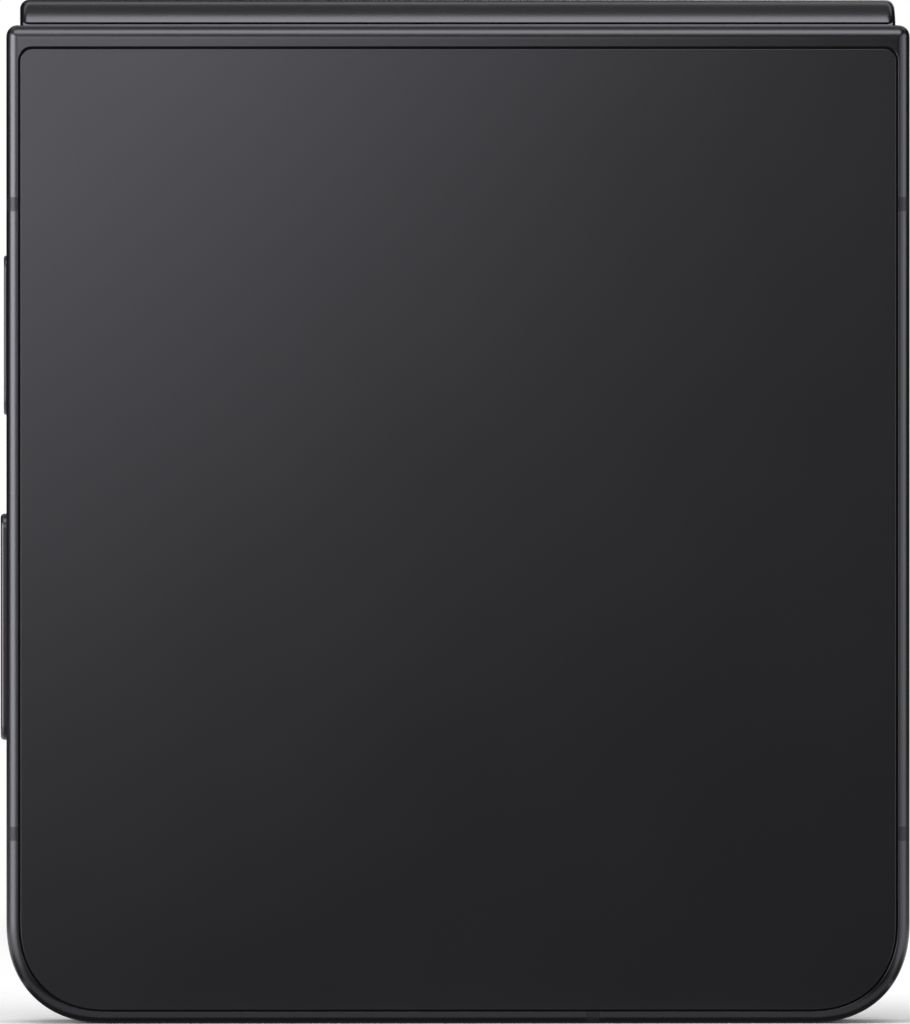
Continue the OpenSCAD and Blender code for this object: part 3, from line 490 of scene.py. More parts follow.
# One material for each finish.
MATS = {
    "frame": satin_graphite("graphite_frame", 0.3),
    "spine": satin_graphite("graphite_spine", 0.27),
    "key": satin_graphite("graphite_key", 0.3),
    "ring": surface("turned_ring", GRAPHITE, spread=0.05, metallic=1.0, rough=0.22, rough_spread=0.03,
                    grain=9000.0, bump=0.04),
    "break": surface("antenna_plastic", (0.012, 0.012, 0.0135), spread=0.08, rough=0.3, rough_spread=0.02,
                     grain=30000.0, bump=0.01, specular=0.45, tint=(0.93, 0.9, 1.0)),
    "glass": surface("rear_glass", (0.006, 0.006, 0.0072), spread=0.06, rough=0.3, rough_spread=0.01,
                     grain=3000.0, bump=0.0, specular=1.0, tint=(0.92, 0.91, 1.0)),
    "seal": surface("glass_seal", (0.003, 0.003, 0.003), spread=0.2, rough=0.7, rough_spread=0.1,
                    grain=9000.0, bump=0.3, specular=0.2),
    "rim": surface("screen_rim", (0.02, 0.02, 0.021), spread=0.1, rough=0.45, rough_spread=0.05,
                   grain=8000.0, bump=0.15),
    "rubber": surface("bumper_rubber", (0.02, 0.02, 0.02), spread=0.1, rough=0.7, rough_spread=0.05,
                      grain=9000.0, bump=0.2),
    "screen": surface("screen_film", (0.004, 0.004, 0.005), spread=0.1, rough=0.1, rough_spread=0.02,
                      grain=900.0, bump=0.004, coat=0.3),
    "steel": surface("sheet_steel", (0.5, 0.5, 0.5), spread=0.08, metallic=1.0, rough=0.35,
                     rough_spread=0.06, grain=2500.0, bump=0.1, stretch=(1, 1, 12)),
    "plate": surface("die_cast_plate", (0.35, 0.36, 0.37), spread=0.08, metallic=1.0, rough=0.5,
                     rough_spread=0.06, grain=5000.0, bump=0.2),
    "gear": surface("gear_steel", (0.45, 0.45, 0.46), spread=0.08, metallic=1.0, rough=0.3,
                    rough_spread=0.05, grain=4000.0, bump=0.1),
    "bronze": surface("bush_bronze", (0.6, 0.42, 0.18), spread=0.1, metallic=1.0, rough=0.4,
                      rough_spread=0.06, grain=6000.0, bump=0.2),
    "battery": surface("battery_wrap", (0.03, 0.03, 0.035), spread=0.15, rough=0.35, rough_spread=0.08,
                       grain=2000.0, bump=0.1),
    "copper": surface("copper_winding", (0.72, 0.38, 0.2), spread=0.12, metallic=1.0, rough=0.35,
                      rough_spread=0.05, grain=3000.0, bump=0.2),
    "ferrite": surface("ferrite_film", (0.05, 0.05, 0.055), spread=0.15, rough=0.5, rough_spread=0.06,
                       grain=5000.0, bump=0.2),
    "board": surface("solder_mask", (0.02, 0.09, 0.05), spread=0.25, rough=0.35, rough_spread=0.06,
                     grain=1500.0, bump=0.15, patch=900.0),
    "black": surface("moulded_black", (0.02, 0.02, 0.02), spread=0.15, rough=0.45, rough_spread=0.06,
                     grain=6000.0, bump=0.15),
    "mesh": surface("dust_mesh", (0.012, 0.012, 0.012), spread=0.3, rough=0.7, rough_spread=0.05,
                    grain=12000.0, bump=0.6),
    "lamp": surface("flash_phosphor", (0.6, 0.52, 0.27), spread=0.15, rough=0.25, rough_spread=0.05,
                    grain=5000.0, bump=0.2, coat=1.0),
    "gold": surface("gold_can", (0.7, 0.52, 0.22), spread=0.08, metallic=1.0, rough=0.3, rough_spread=0.05,
                    grain=5000.0, bump=0.1),
    "flex": surface("polyimide_film", (0.4, 0.19, 0.04), spread=0.15, rough=0.3, rough_spread=0.05,
                    grain=2500.0, bump=0.1),
    "screw": surface("blackened_steel", (0.25, 0.25, 0.25), spread=0.1, metallic=1.0, rough=0.35,
                     rough_spread=0.06, grain=5000.0, bump=0.15),
    "baffle": surface("lens_baffle", (0.004, 0.004, 0.005), spread=0.2, rough=0.6, rough_spread=0.05,
                      grain=8000.0, bump=0.1, specular=0.1),
    "lens": surface("lens_coating", (0.003, 0.004, 0.012), spread=0.3, rough=0.05, rough_spread=0.01,
                    grain=500.0, bump=0.0, specular=0.6, tint=(0.45, 0.5, 1.0)),
    "window": clear_glass("camera_window", (0.85, 0.87, 0.9)),
}
NODE_MATERIALS = {
    "rim": ["lower_screen_rim", "upper_screen_rim"],
    "rubber": ["screen_bumpers"],
    "screen": ["lower_inner_screen", "upper_inner_screen", "cover_screen"],
    "steel": ["lower_screen_backing", "upper_screen_backing", "lower_hinge_plate", "upper_hinge_plate",
              "board_shield", "card_socket", "vibration_motor", "charging_port"],
    "plate": ["lower_mid_plate", "upper_mid_plate", "spine_bracket"],
    "gear": ["lower_gear_arms", "upper_gear_arms", "rear_idler_gears", "front_idler_gears",
             "hinge_shafts", "brake_springs"],
    "bronze": ["brake_bushes"],
    "battery": ["lower_battery", "upper_battery"],
    "copper": ["charging_coil"],
    "ferrite": ["coil_ferrite"],
    "board": ["main_board", "sub_board"],
    "black": ["charging_port_tongue", "loudspeaker", "board_chips", "rear_cameras", "front_camera",
              "earpiece"],
    "mesh": ["loudspeaker_mesh"],
    "lamp": ["flash_led"],
    "gold": ["bottom_microphone", "top_microphone"],
    "flex": ["key_flex"],
    "screw": ["lower_screws", "upper_screws", "spine_screws"],
}
for finish, names in NODE_MATERIALS.items():
    for node in names:
        mesh = frame["nodes"][node].data
        mesh.materials.clear()
        mesh.materials.append(MATS[finish])

# ---------- frames of the two halves ----------


def round_inset(v, r):
    """How far a round of radius r at the glass face has come in at level v."""
    rise = min(max(v - (HALF_T - r), 0), r)
    return r - math.sqrt(r * r - rise * rise)


def half_blank():
    """The half's solid with every outer edge rounded."""
    loops = []
    for k in range(6):
        a = math.pi / 2 * k / 5
        loops.append(inset_outline(FOLD_EDGE_R * (1 - math.sin(a)), FOLD_EDGE_R * (1 - math.cos(a))))
    for k in range(17):
        v = HALF_T - EDGE_R_TOP * (1 - math.sin(math.pi / 2 * k / 16))
        loops.append(inset_outline(round_inset(v, EDGE_R), v, round_inset(v, EDGE_R_TOP)))
    return loft(loops, name="blank")


def arc(cy, cz, r, a0, a1, steps=24):
    """Points (y, z) on an arc, angles in degrees."""
    return [(cy + r * math.cos(math.radians(a0 + (a1 - a0) * k / steps)),
             cz + r * math.sin(math.radians(a0 + (a1 - a0) * k / steps))) for k in range(steps + 1)]


def frame_cutters():
    """The hollows that both frames have: the glass seat, the inside, and the hinge's pockets."""
    screen_x = HALF_W - SCREEN_INSET + SCREEN_FIT
    top = HALF_LEN + OVER
    pocket = [(-OVER, POCKET_Z)] + arc(AXIS_V, AXIS_Z, POCKET_R, -90, 0)
    pocket += [(AXIS_V + POCKET_R, top), (-OVER, top)]
    fold_round = [(-OVER, AXIS_Z)] + arc(AXIS_V, AXIS_Z, AXIS_TO_END, 180, 90)
    fold_round += [(AXIS_V, top), (-OVER, top)]
    cutters = [
        loft([inset_outline(RIM_W, V_SEAT, RIM_TOP, SEAT_R),
              inset_outline(RIM_W, HALF_T - LIP, RIM_TOP, SEAT_R),
              inset_outline(RIM_W - LIP, HALF_T, RIM_TOP - LIP, SEAT_R),
              inset_outline(RIM_W - LIP, HALF_T + OVER, RIM_TOP - LIP, SEAT_R)]),
        loft([inset_outline(WALL_T, v, BEAM_INSET, INNER_R) for v in (V_INSIDE, V_LEDGE)]),
        loft([inset_outline(LEDGE_W, v, BEAM_INSET, INNER_R) for v in (V_LEDGE - CUT, V_SEAT + CUT)]),
        loft([inset_outline(SCREEN_INSET - SCREEN_FIT, v, BEAM_INSET, SCREEN_R)
              for v in (-OVER, V_INSIDE + CUT)]),
        box((-screen_x, screen_x), (-OVER, V_INSIDE), (BEAM_Z - OVER, top)),
        prism_x(pocket, -SPINE_HALF_W - SPINE_GAP, SPINE_HALF_W + SPINE_GAP),
        prism_x(fold_round, -HALF_W - OVER, HALF_W + OVER),
    ]
    for s in (-1, 1):
        arm_end = s * (ARM_X1 + ARM_GAP)
        cutters.append(box(sorted((s * (ARM_X0 - ARM_GAP), arm_end)),
                           (ARM_V[0] - ARM_V_GAP, ARM_V[1] + ARM_V_GAP), (PLATE_Z, POCKET_Z + OVER)))
        cutters.append(box(sorted((s * (screen_x - ARM_FOOT_W), arm_end)),
                           (ARM_V[0] - ARM_V_GAP, V_INSIDE + CUT), (PLATE_Z, ARM_FOOT_Z1 + ARM_FOOT_GAP)))
    return cutters


def break_boxes():
    """Blocks that cut both side walls and the free end's wall into frame and antenna breaks."""
    pieces = []
    through = (-OVER, HALF_T + OVER)
    for z in BREAK_Z:
        for s in (-1, 1):
            pieces.append(box(sorted((s * (HALF_W - WALL_T), s * (HALF_W + OVER))), through,
                              (z - BREAK_W / 2, z + BREAK_W / 2)))
    pieces.append(box((BREAK_X - BREAK_W / 2, BREAK_X + BREAK_W / 2), through, (-OVER, WALL_T)))
    return joined(pieces)


def copy_of(obj):
    """A second object with its own copy of the mesh."""
    other = bpy.data.objects.new(obj.name + "_copy", obj.data.copy())
    bpy.context.scene.collection.objects.link(other)
    return other


def make_frame(side, body, label, extra):
    """A half's frame and its antenna breaks. extra holds the cutters of this half's own openings."""
    shell = boolean(half_blank(), frame_cutters() + extra)
    inserts = boolean(copy_of(shell), [break_boxes()], "INTERSECT")
    shell = boolean(shell, [break_boxes()])
    finish_mesh(on_half(shell, side), f"{label}_frame_shell", body, MATS["frame"],
                [f"{label}_frame"])
    finish_mesh(on_half(inserts, side), f"{label}_antenna_inserts", body, MATS["break"],
                [f"{label}_antenna_breaks"])


def bottom_hole(x, r):
    """A cutter for a round hole in the free end's wall, FLARE wider at the outer face."""
    ring = [(math.cos(2 * math.pi * k / 32), math.sin(2 * math.pi * k / 32)) for k in range(32)]
    return loft([[(x + (r + g) * c, V_MID + (r + g) * s, z) for c, s in ring]
                 for g, z in ((0, WALL_T + CUT), (0, FLARE), (FLARE, 0), (FLARE, -OVER))])


def lower_cutters():
    """The port's mouth, the loudspeaker's holes and the microphone's hole."""
    def port(grow, z):
        return [(x, V_MID + v, z) for x, v in pill(PORT[0] + 2 * PORT_WALL, PORT[1] + 2 * PORT_WALL,
                                                   PORT[1] / 2 + PORT_WALL, FIT + grow)]

    cutters = [loft([port(0, PORT_DEPTH), port(0, FLARE), port(FLARE, 0), port(FLARE, -OVER)])]
    for i in range(SOUND_COUNT):
        cutters.append(bottom_hole(SOUND_X0 + i * SOUND_PITCH, SOUND_R))
    cutters.append(bottom_hole(-BREAK_X, MIC_R))
    return cutters


def key_place(node):
    """Middle height, length and stand-out of a key, from its CAD node."""
    lo, hi = mm_box(node)
    return (lo[2] + hi[2]) / 2, hi[2] - lo[2] - 2 * KEY_FLANGE_W, -HALF_W - lo[0]


def upper_cutters():
    """The keys' slots, the card tray's opening, the earpiece's slot and the microphone's hole."""
    cutters = []
    for node in KEYS:
        z0, length, _ = key_place(node)

        def slot(grow, x, z0=z0, length=length):
            return [(x, V_MID + b, z0 + a) for a, b in pill(length, KEY_W, KEY_R, KEY_GAP + grow)]

        cutters.append(loft([slot(0, -HALF_W + WALL_T + CUT), slot(0, -HALF_W + FLARE), slot(FLARE, -HALF_W),
                             slot(FLARE, -HALF_W - OVER)]))

    def tray(grow, x):
        return [(x, V_MID + b, TRAY_Z + a) for a, b in pill(*TRAY_FACE, TRAY_R, FIT + grow)]

    cutters.append(loft([tray(0, HALF_W - TRAY_FACE_T - FIT), tray(0, HALF_W - TRAY_FLARE),
                         tray(TRAY_FLARE, HALF_W), tray(TRAY_FLARE, HALF_W + OVER)]))
    slide_t, slide_w = TRAY_T / 2 + FIT, TRAY_W / 2 + FIT
    cutters.append(box((HALF_W - WALL_T - OVER, HALF_W), (V_MID - slide_t, V_MID + slide_t),
                       (TRAY_Z - slide_w, TRAY_Z + slide_w)))
    ear = pill(EAR_W, EAR_H, EAR_H / 2 - CUT)
    cutters.append(loft([[(x, v, EAR_Z + z) for x, z in ear] for v in (-OVER, V_INSIDE + CUT)]))
    cutters.append(bottom_hole(-BREAK_X, MIC_R))
    return cutters


make_frame(-1, "lower_half", "lower", lower_cutters())
make_frame(1, "upper_half", "upper", upper_cutters())

# ---------- glass and its seal ----------


def glass_loops():
    """The loops of a glass pane, whose outer edge is a small quarter round."""
    d = RIM_W + JOINT_W
    top, top_r = RIM_TOP + JOINT_W, SEAT_R - JOINT_W
    loops = [inset_outline(d, V_GLASS, top, top_r)]
    for k in range(7):
        a = math.pi / 2 * k / 6
        g = GLASS_EDGE_W * (1 - math.cos(a))
        loops.append(inset_outline(d + g, HALF_T - GLASS_EDGE_H * (1 - math.sin(a)), top + g, top_r - g))
    return loops


def make_glass(side, body, node, seal_node, name, holes=()):
    """A half's glass pane and the dark joint between it and the frame."""
    glass = loft(glass_loops(), name=name)
    if holes:
        glass = boolean(glass, holes)
    finish_mesh(on_half(glass, side), name, body, MATS["glass"], [node])
    inner, inner_top, inner_r = RIM_W + JOINT_W, RIM_TOP + JOINT_W, SEAT_R - JOINT_W
    low, high = V_SEAT, HALF_T - SEAL_SINK
    seal = loft([inset_outline(RIM_W, low, RIM_TOP, SEAT_R),
                 inset_outline(RIM_W, high, RIM_TOP, SEAT_R),
                 inset_outline(inner, high, inner_top, inner_r),
                 inset_outline(inner, low, inner_top, inner_r)], closed=True)
    finish_mesh(on_half(seal, side), name + "_joint", body, MATS["seal"], [seal_node])


make_glass(-1, "lower_half", "rear_glass", "rear_glass_seal", "rear_glass_pane")
make_glass(1, "upper_half", "cover_glass", "cover_glass_seal", "cover_glass_pane",
           [rod("Y", (x, CAMERA_Z), CAMERA_HOLE_R, (V_GLASS - OVER, HALF_T + OVER), 96) for x in CAMERA_X])

# ---------- spine ----------


def spine_section(x, r, low):
    """The spine's closed section at x, in (x, y, z): two arcs over the axes, cut off at height low."""
    a0 = math.degrees(math.asin((low - AXIS_Z) / r))
    front = arc(-AXIS_Y, AXIS_Z, r, 180 - a0, 90, 32)
    back = arc(AXIS_Y, AXIS_Z, r, 90, a0, 32)
    return [(x, y, z) for y, z in front + back]


def spine_cover():
    """The spine's shell with rounded ends, a groove along each side, and the lugs that hold the axes."""
    low, shell_r = AXIS_Z + SPINE_EDGE, SPINE_R - SPINE_TRIM
    ends = []
    for k in range(11):
        a = math.pi / 2 * k / 10
        ends.append((SPINE_HALF_W - SPINE_END_R + SPINE_END_R * math.sin(a),
                     shell_r - SPINE_END_R + SPINE_END_R * math.cos(a)))
    loops = [spine_section(-x, r, low) for x, r in reversed(ends)]
    loops += [spine_section(x, r, low) for x, r in ends]
    inner_x = SPINE_HALF_W - SPINE_END_WALL
    inner_r = SPINE_R - SPINE_WALL
    cuts = [loft([spine_section(x, inner_r, low - LUG_SINK) for x in (-inner_x, inner_x)])]
    groove_r = shell_r - GROOVE_DEPTH
    a0, a1 = (math.degrees(math.asin((z - AXIS_Z) / groove_r)) for z in GROOVE_Z)
    outside = AXIS_Y + POCKET_R + OVER
    for side in (-1, 1):
        profile = [(side * y, z) for y, z in arc(AXIS_Y, AXIS_Z, groove_r, a0, a1, 8)]
        profile += [(side * outside, GROOVE_Z[1]), (side * outside, GROOVE_Z[0])]
        cuts.append(prism_x(profile, -SPINE_HALF_W - OVER, SPINE_HALF_W + OVER))
    cover = boolean(loft(loops), cuts)
    lugs = [box(sorted((s * inner_x, s * SPINE_HALF_W)), (-AXIS_Y - LUG_HALF_T, AXIS_Y + LUG_HALF_T),
                (AXIS_Z - LUG_DROP, low + LUG_SINK)) for s in (-1, 1)]
    return boolean(cover, lugs, "UNION")


finish_mesh(spine_cover(), "spine_cover_shell", "spine", MATS["spine"], ["spine_cover"])

# ---------- the screen where it folds ----------


def smooth(t):
    """0 before 0, 1 after 1, and an S between them, as the blend itself turns."""
    t = min(max(t, 0), 1)
    return t * t * (3 - 2 * t)


def folded_point(s, v):
    """Where a point of the flat screen, s from its middle and v deep, lies when the phone is shut.

    The point turns about the hinge axis by the share of the blend that its own shut height gives."""
    y, z = s - AXIS_Y, v - AXIS_V
    height = AXIS_Z - s
    for _ in range(60):
        turn = math.pi / 2 * (1 - smooth((height - BLEND_Z0) / (BLEND_Z1 - BLEND_Z0)))
        new = AXIS_Z - y * math.sin(turn) + z * math.cos(turn)
        height += 0.5 * (new - height)
    return (AXIS_Y + y * math.cos(turn) + z * math.sin(turn), height)


def fold_strip(side, xs, vs, z0):
    """Half of a band that bends with the fold: xs and vs are its width and depth, z0 its end when shut."""
    length = AXIS_Z + AXIS_Y - z0
    rows = [FOLD_STEP * k for k in range(int(length / FOLD_STEP) + 1)] + [length]
    loops = []
    for s in rows:
        loop = []
        for x, v in ((xs[0], vs[0]), (xs[1], vs[0]), (xs[1], vs[1]), (xs[0], vs[1])):
            y, z = folded_point(s, v)
            loop.append((x, side * y, z))
        loops.append(loop)
    return loft(loops)


for side, half, end in ((1, "upper_half", "rear"), (-1, "lower_half", "front")):
    blended(fold_strip(side, (-FOLD_X, FOLD_X), SCREEN_V, FOLD_Z0), "fold_screen_" + end,
            MATS["screen"], ["fold_screen"])
    flexes = [fold_strip(side, xs, FLEX_V, FLEX_Z0) for xs in (FLEX_X, (-FLEX_X[1], -FLEX_X[0]))]
    blended(joined(flexes), "hinge_flex_" + end,
            MATS["flex"], ["hinge_flexes"])

# ---------- keys and tray ----------


def make_key(node, edge):
    """A key with its flange behind the wall and an outer edge of radius edge."""
    z0, length, proud = key_place(node)
    top = -HALF_W - proud
    back = mm_box(node)[1][0]
    front = back - KEY_FLANGE_T
    loops = []
    for x, g in ((back, KEY_FLANGE_W), (front, KEY_FLANGE_W), (front, 0)):
        loops.append([(x, V_MID + b, z0 + a) for a, b in pill(length, KEY_W, KEY_R, g)])
    for k in range(8):
        a = math.pi / 2 * k / 7
        inset, x = edge * (1 - math.cos(a)), top + edge * (1 - math.sin(a))
        loops.append([(x, V_MID + q, z0 + p) for p, q in pill(length, KEY_W, KEY_R, -inset)])
    finish_mesh(on_half(loft(loops), 1), node + "_cap", node, MATS["key"], [node])


for key_node, key_edge in KEYS.items():
    make_key(key_node, key_edge)


def make_tray():
    """The card tray: its face in the frame, the drawer with its pocket, and the hole for the pin."""
    loops = [[(HALF_W - TRAY_FACE_T, V_MID + b, TRAY_Z + a) for a, b in pill(*TRAY_FACE, TRAY_R)]]
    for k in range(5):
        a = math.pi / 2 * k / 4
        inset, x = TRAY_EDGE_R * (1 - math.cos(a)), HALF_W - TRAY_EDGE_R * (1 - math.sin(a))
        loops.append([(x, V_MID + q, TRAY_Z + p) for p, q in pill(*TRAY_FACE, TRAY_R, -inset)])
    drawer = box((HALF_W - TRAY_LEN, HALF_W - TRAY_FACE_T + CUT), (V_MID - TRAY_T / 2, V_MID + TRAY_T / 2),
                 (TRAY_Z - TRAY_W / 2, TRAY_Z + TRAY_W / 2))
    tray = boolean(loft(loops), [drawer], "UNION")
    cuts = [box(CARD_X, (V_MID - CARD_FLOOR, V_MID + TRAY_T + OVER),
                (TRAY_Z - CARD_W / 2, TRAY_Z + CARD_W / 2)),
            rod("X", (V_MID, PIN_Z), PIN_R, (HALF_W - TRAY_FACE_T - OVER, HALF_W + OVER))]
    finish_mesh(on_half(boolean(tray, cuts), 1), "card_tray_drawer", "card_tray", MATS["key"],
                ["card_tray"])


make_tray()

# ---------- cameras and flash ----------


def make_cameras():
    """Both cameras: a ring with a rounded edge, a window in it, a stepped baffle and a domed lens."""
    rings, panes, baffles, lenses = [], [], [], []
    top = RING_TOP
    for x in CAMERA_X:
        profile = [(RING_BORE_R, V_GLASS - WINDOW_SEAT), (RING_NECK_R, V_GLASS - WINDOW_SEAT),
                   (RING_NECK_R, HALF_T), (RING_R, HALF_T)]
        for k in range(9):
            a = math.pi / 2 * k / 8
            profile.append((RING_R - RING_EDGE_R + RING_EDGE_R * math.cos(a),
                            top - RING_EDGE_R + RING_EDGE_R * math.sin(a)))
        profile += [(4.3, top), (4.02, top - WINDOW_DROP), (4.0, top - WINDOW_SEAT),
                    (RING_BORE_R, top - WINDOW_SEAT)]
        rings.append(turned(profile, x, CAMERA_Z, 128))
        panes.append(disc([(3.98, top - WINDOW_SEAT), (3.98, top - 0.15), (3.93, top - WINDOW_DROP),
                           (TIP_R, top - WINDOW_DROP)], x, CAMERA_Z))
        treads = [(3.66, 0.45), (3.35, 0.45), (3.3, 0.3), (2.95, 0.28), (2.9, 0.16), (2.5, 0.14),
                  (2.45, 0.04), (2.0, 0.02), (2.0, 0), (3.66, 0)]
        baffles.append(turned([(r, HALF_T + rise) for r, rise in treads], x, CAMERA_Z))
        dome = [(LENS_R, HALF_T)]
        for k in range(10):
            a = math.pi / 2 * k / 9
            dome.append((max(LENS_R * math.cos(a), TIP_R), HALF_T + 0.02 + LENS_RISE * math.sin(a)))
        lenses.append(disc(dome, x, CAMERA_Z))
    for objs, name, finish, slot, nodes in (
            (rings, "camera_ring_pair", "ring", "ring_metal", ["camera_rings"]),
            (panes, "camera_pane_pair", "window", "outer_glass", ["camera_windows"]),
            (baffles, "lens_baffle_pair", "baffle", "black_plastic", []),
            (lenses, "lens_pair", "lens", "outer_glass", [])):
        finish_mesh(on_half(joined(objs), 1), name, "upper_half", MATS[finish], nodes)


def make_flash():
    """The flash's lens, a low disc with rings."""
    lo, hi = mm_box("flash_led")
    x, r = (lo[0] + hi[0]) / 2, (hi[0] - lo[0]) / 2
    profile = [(r, HALF_T - 0.05), (r, HALF_T + 0.02)]
    for k in range(1, 9):
        profile.append((r * (1 - k / 9), HALF_T + 0.03 + 0.02 * (k % 2)))
    profile.append((TIP_R, HALF_T + 0.04))
    finish_mesh(on_half(disc(profile, x, CAMERA_Z), 1), "flash_lens", "upper_half", MATS["lamp"])


make_cameras()
make_flash()

# ---------- floor, light and camera ----------
CAMERA_D = 2800.0
VIEW_H = 85.19
SENSOR_H = 36
AIM = Vector((-0.276, -HALF_T - FACE_Y, 42.585))
LIGHT_CENTRE = Vector((0, 0, 42))
CLOTH_R = 1600
CLOTH_STEP = 5
CLOTH_TOP = 89.9
CARD_Z = -0.012
# To the camera and reflections the floor shows its shadow up to GLOW_FROM and is plain white past GLOW_TO.
FLOOR_R = 12000
FLOOR_Z = (-6, -0.02)
GLOW_FROM, GLOW_TO = 60, 400
WORLD_LEVEL = 0.55


def toward(az, el):
    """The direction az (0 is in front, positive to the right) and el, in degrees, seen from the phone."""
    a, e = math.radians(az), math.radians(el)
    return Vector((math.sin(a) * math.cos(e), -math.cos(a) * math.cos(e), math.sin(e)))


def lamp(name, az, el, dist, size, radiance, turn=0):
    """A soft lamp dist away in the direction az, el, turned about its own axis by turn degrees.

    size is (width, height) in millimetres, and radiance is its brightness, where a white background has 1."""
    light = bpy.data.lights.new(name, "AREA")
    light.shape = "RECTANGLE"
    light.size, light.size_y = size[0] * MM, size[1] * MM
    light.energy = radiance * math.pi * light.size * light.size_y
    place = LIGHT_CENTRE + dist * toward(az, el)
    obj = bpy.data.objects.new(name, light)
    obj.location = place * MM
    facing = (LIGHT_CENTRE - place).to_track_quat("-Z", "Y").to_matrix().to_4x4()
    obj.rotation_euler = (facing @ Matrix.Rotation(math.radians(turn), 4, "Z")).to_euler()
    obj.visible_camera = False
    bpy.context.scene.collection.objects.link(obj)


def hang(cloth, level):
    """Turns a mesh in millimetres into cloth that only reflections see. A white background has level 1."""
    in_metres(cloth)
    mat, nodes, links, _ = new_material("cloth_%g" % level)
    glow = nodes.new("ShaderNodeEmission")
    glow.inputs["Strength"].default_value = level
    links.new(glow.outputs["Emission"], nodes["Material Output"].inputs["Surface"])
    cloth.data.materials.append(mat)
    for ray in ("camera", "diffuse", "transmission", "shadow", "volume_scatter"):
        setattr(cloth, "visible_" + ray, False)


def flag(keep, level):
    """A cloth round the set. keep(az, el) says where it hangs."""
    bm = bmesh.new()
    for az in range(-180, 180, CLOTH_STEP):
        for el in range(-5, 90, CLOTH_STEP):
            if not keep(az + CLOTH_STEP / 2, el + CLOTH_STEP / 2):
                continue
            corners = []
            for da, de in ((0, 0), (1, 0), (1, 1), (0, 1)):
                way = toward(az + da * CLOTH_STEP, min(el + de * CLOTH_STEP, CLOTH_TOP))
                corners.append(bm.verts.new(LIGHT_CENTRE + CLOTH_R * way))
            bm.faces.new(corners)
    hang(link("flag", bm), level)


def floor_card(corners, level):
    """A card just over the floor, as its corners (x, y)."""
    bm = bmesh.new()
    bm.faces.new([bm.verts.new((x, y, CARD_Z)) for x, y in corners])
    hang(link("floor_card", bm), level)


def background_rays(nodes, links):
    """1 for the rays that see the plain background: those of the camera, of reflections and through glass."""
    path = nodes.new("ShaderNodeLightPath")
    seen = path.outputs["Is Camera Ray"]
    for ray in ("Is Glossy Ray", "Is Transmission Ray"):
        either = nodes.new("ShaderNodeMath")
        either.operation = "MAXIMUM"
        links.new(seen, either.inputs[0])
        links.new(path.outputs[ray], either.inputs[1])
        seen = either.outputs[0]
    return seen


def floor_material():
    """Pale floor that takes the shadow near the phone and runs out into the white background."""
    mat = surface("pale_floor", (0.93, 0.93, 0.93), spread=0.01, rough=0.8, rough_spread=0.03, grain=300.0,
                  bump=0.02, specular=0.2, patch=3.0)
    nodes, links = mat.node_tree.nodes, mat.node_tree.links
    coord = nodes.new("ShaderNodeTexCoord")
    length = nodes.new("ShaderNodeVectorMath")
    length.operation = "LENGTH"
    links.new(coord.outputs["Object"], length.inputs[0])
    far = nodes.new("ShaderNodeMapRange")
    far.interpolation_type = "SMOOTHSTEP"
    far.inputs["From Min"].default_value = GLOW_FROM * MM
    far.inputs["From Max"].default_value = GLOW_TO * MM
    links.new(length.outputs["Value"], far.inputs["Value"])
    share = nodes.new("ShaderNodeMath")
    share.operation = "MULTIPLY"
    links.new(far.outputs["Result"], share.inputs[0])
    links.new(background_rays(nodes, links), share.inputs[1])
    glow = nodes.new("ShaderNodeEmission")
    mix = nodes.new("ShaderNodeMixShader")
    links.new(share.outputs[0], mix.inputs["Fac"])
    links.new(nodes["Principled BSDF"].outputs["BSDF"], mix.inputs[1])
    links.new(glow.outputs["Emission"], mix.inputs[2])
    links.new(mix.outputs["Shader"], nodes["Material Output"].inputs["Surface"])
    return mat


floor = box((-FLOOR_R, FLOOR_R), (-FLOOR_R, FLOOR_R), FLOOR_Z, "floor")
in_metres(floor)
floor.data.materials.append(floor_material())

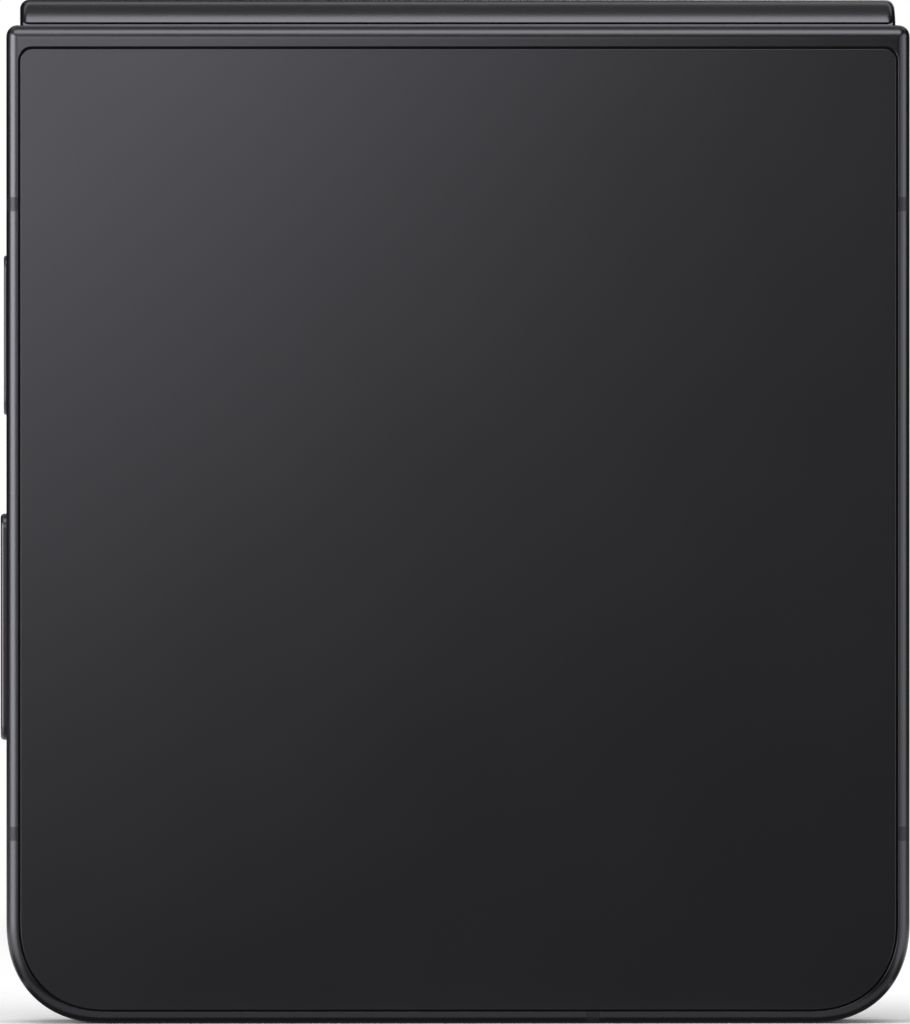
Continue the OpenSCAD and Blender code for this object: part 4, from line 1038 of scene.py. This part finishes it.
world = bpy.data.worlds.new("studio")
bpy.context.scene.world = world
world.use_nodes = True
wn, wl = world.node_tree.nodes, world.node_tree.links
back = wn["Background"]
mix = wn.new("ShaderNodeMix")
mix.data_type = "FLOAT"
mix.inputs["A"].default_value = WORLD_LEVEL
mix.inputs["B"].default_value = 1.0
wl.new(background_rays(wn, wl), mix.inputs["Factor"])
wl.new(mix.outputs["Result"], back.inputs["Strength"])
back.inputs["Color"].default_value = (1, 1, 1, 1)

# Cloth all round, with a gap high up behind, and a lighter one overhead
flag(lambda az, el: el < 60 and not (abs(az) > 110 and 40 < el < 55), 0.02)
flag(lambda az, el: el > 60, 0.28)
# Cards on the floor: in front, a pale one at the foot, under the phone, beside it, and far behind
floor_card([(-750, -1600), (750, -1600), (45, -12), (-45, -12)], 0.02)
floor_card([(-60, -12), (60, -12), (60, -6.9), (-60, -6.9)], 0.37)
# The card under the phone is painted shade: a dark sheet, seen only in reflections, that stands in for the
# phone's shadow on the floor beneath it.
floor_card([(-40, -6.9), (40, -6.9), (40, 7), (-40, 7)], 0.08)
for side in (-1, 1):
    beside = ((41, -6.9), (60, -6.9), (60, 3), (41, 3))
    behind = ((190, -180), (1600, -180), (1600, 1600), (0, 1600), (0, 190), (190, 190))
    floor_card([(side * x, y) for x, y in beside], 0.05)
    floor_card([(side * x, y) for x, y in behind], 0.03)
# A card before the left strip lamp, which keeps it off the upward faces in the side views
hang(box((-561, -560), (-75, 10), (55, 420), "side_card"), 0.02)

lamp("key", -14.3, 15.8, 250, (121, 121), 1.98, turn=45)
lamp("left_strip", -66, 5, 600, (485, 500), 4.9)
lamp("right_strip", 73, 5, 600, (286, 500), 1.91)
lamp("right_fill", 48, 5, 600, (240, 500), 0.75)
lamp("top_bar", -11.4, 63, 600, (700, 329), 2.72)
lamp("back_key", 165.7, 15.8, 250, (121, 121), 1.98, turn=45)

cam = bpy.data.cameras.new("camera")
cam.sensor_fit = "VERTICAL"
cam.sensor_height = SENSOR_H
cam.lens = SENSOR_H * CAMERA_D / VIEW_H
cam.clip_start, cam.clip_end = 0.1, 40
cam_obj = bpy.data.objects.new("camera", cam)
# The eye is level with the left edge and with the halves' ends at the hinge.
eye = Vector((-HALF_W, AIM.y - CAMERA_D, HALF_LEN))
cam_obj.location = eye * MM
cam_obj.rotation_euler = (AIM - eye).to_track_quat("-Z", "Y").to_euler()
bpy.context.scene.collection.objects.link(cam_obj)
bpy.context.scene.camera = cam_obj
bpy.context.scene.view_settings.view_transform = "Standard"
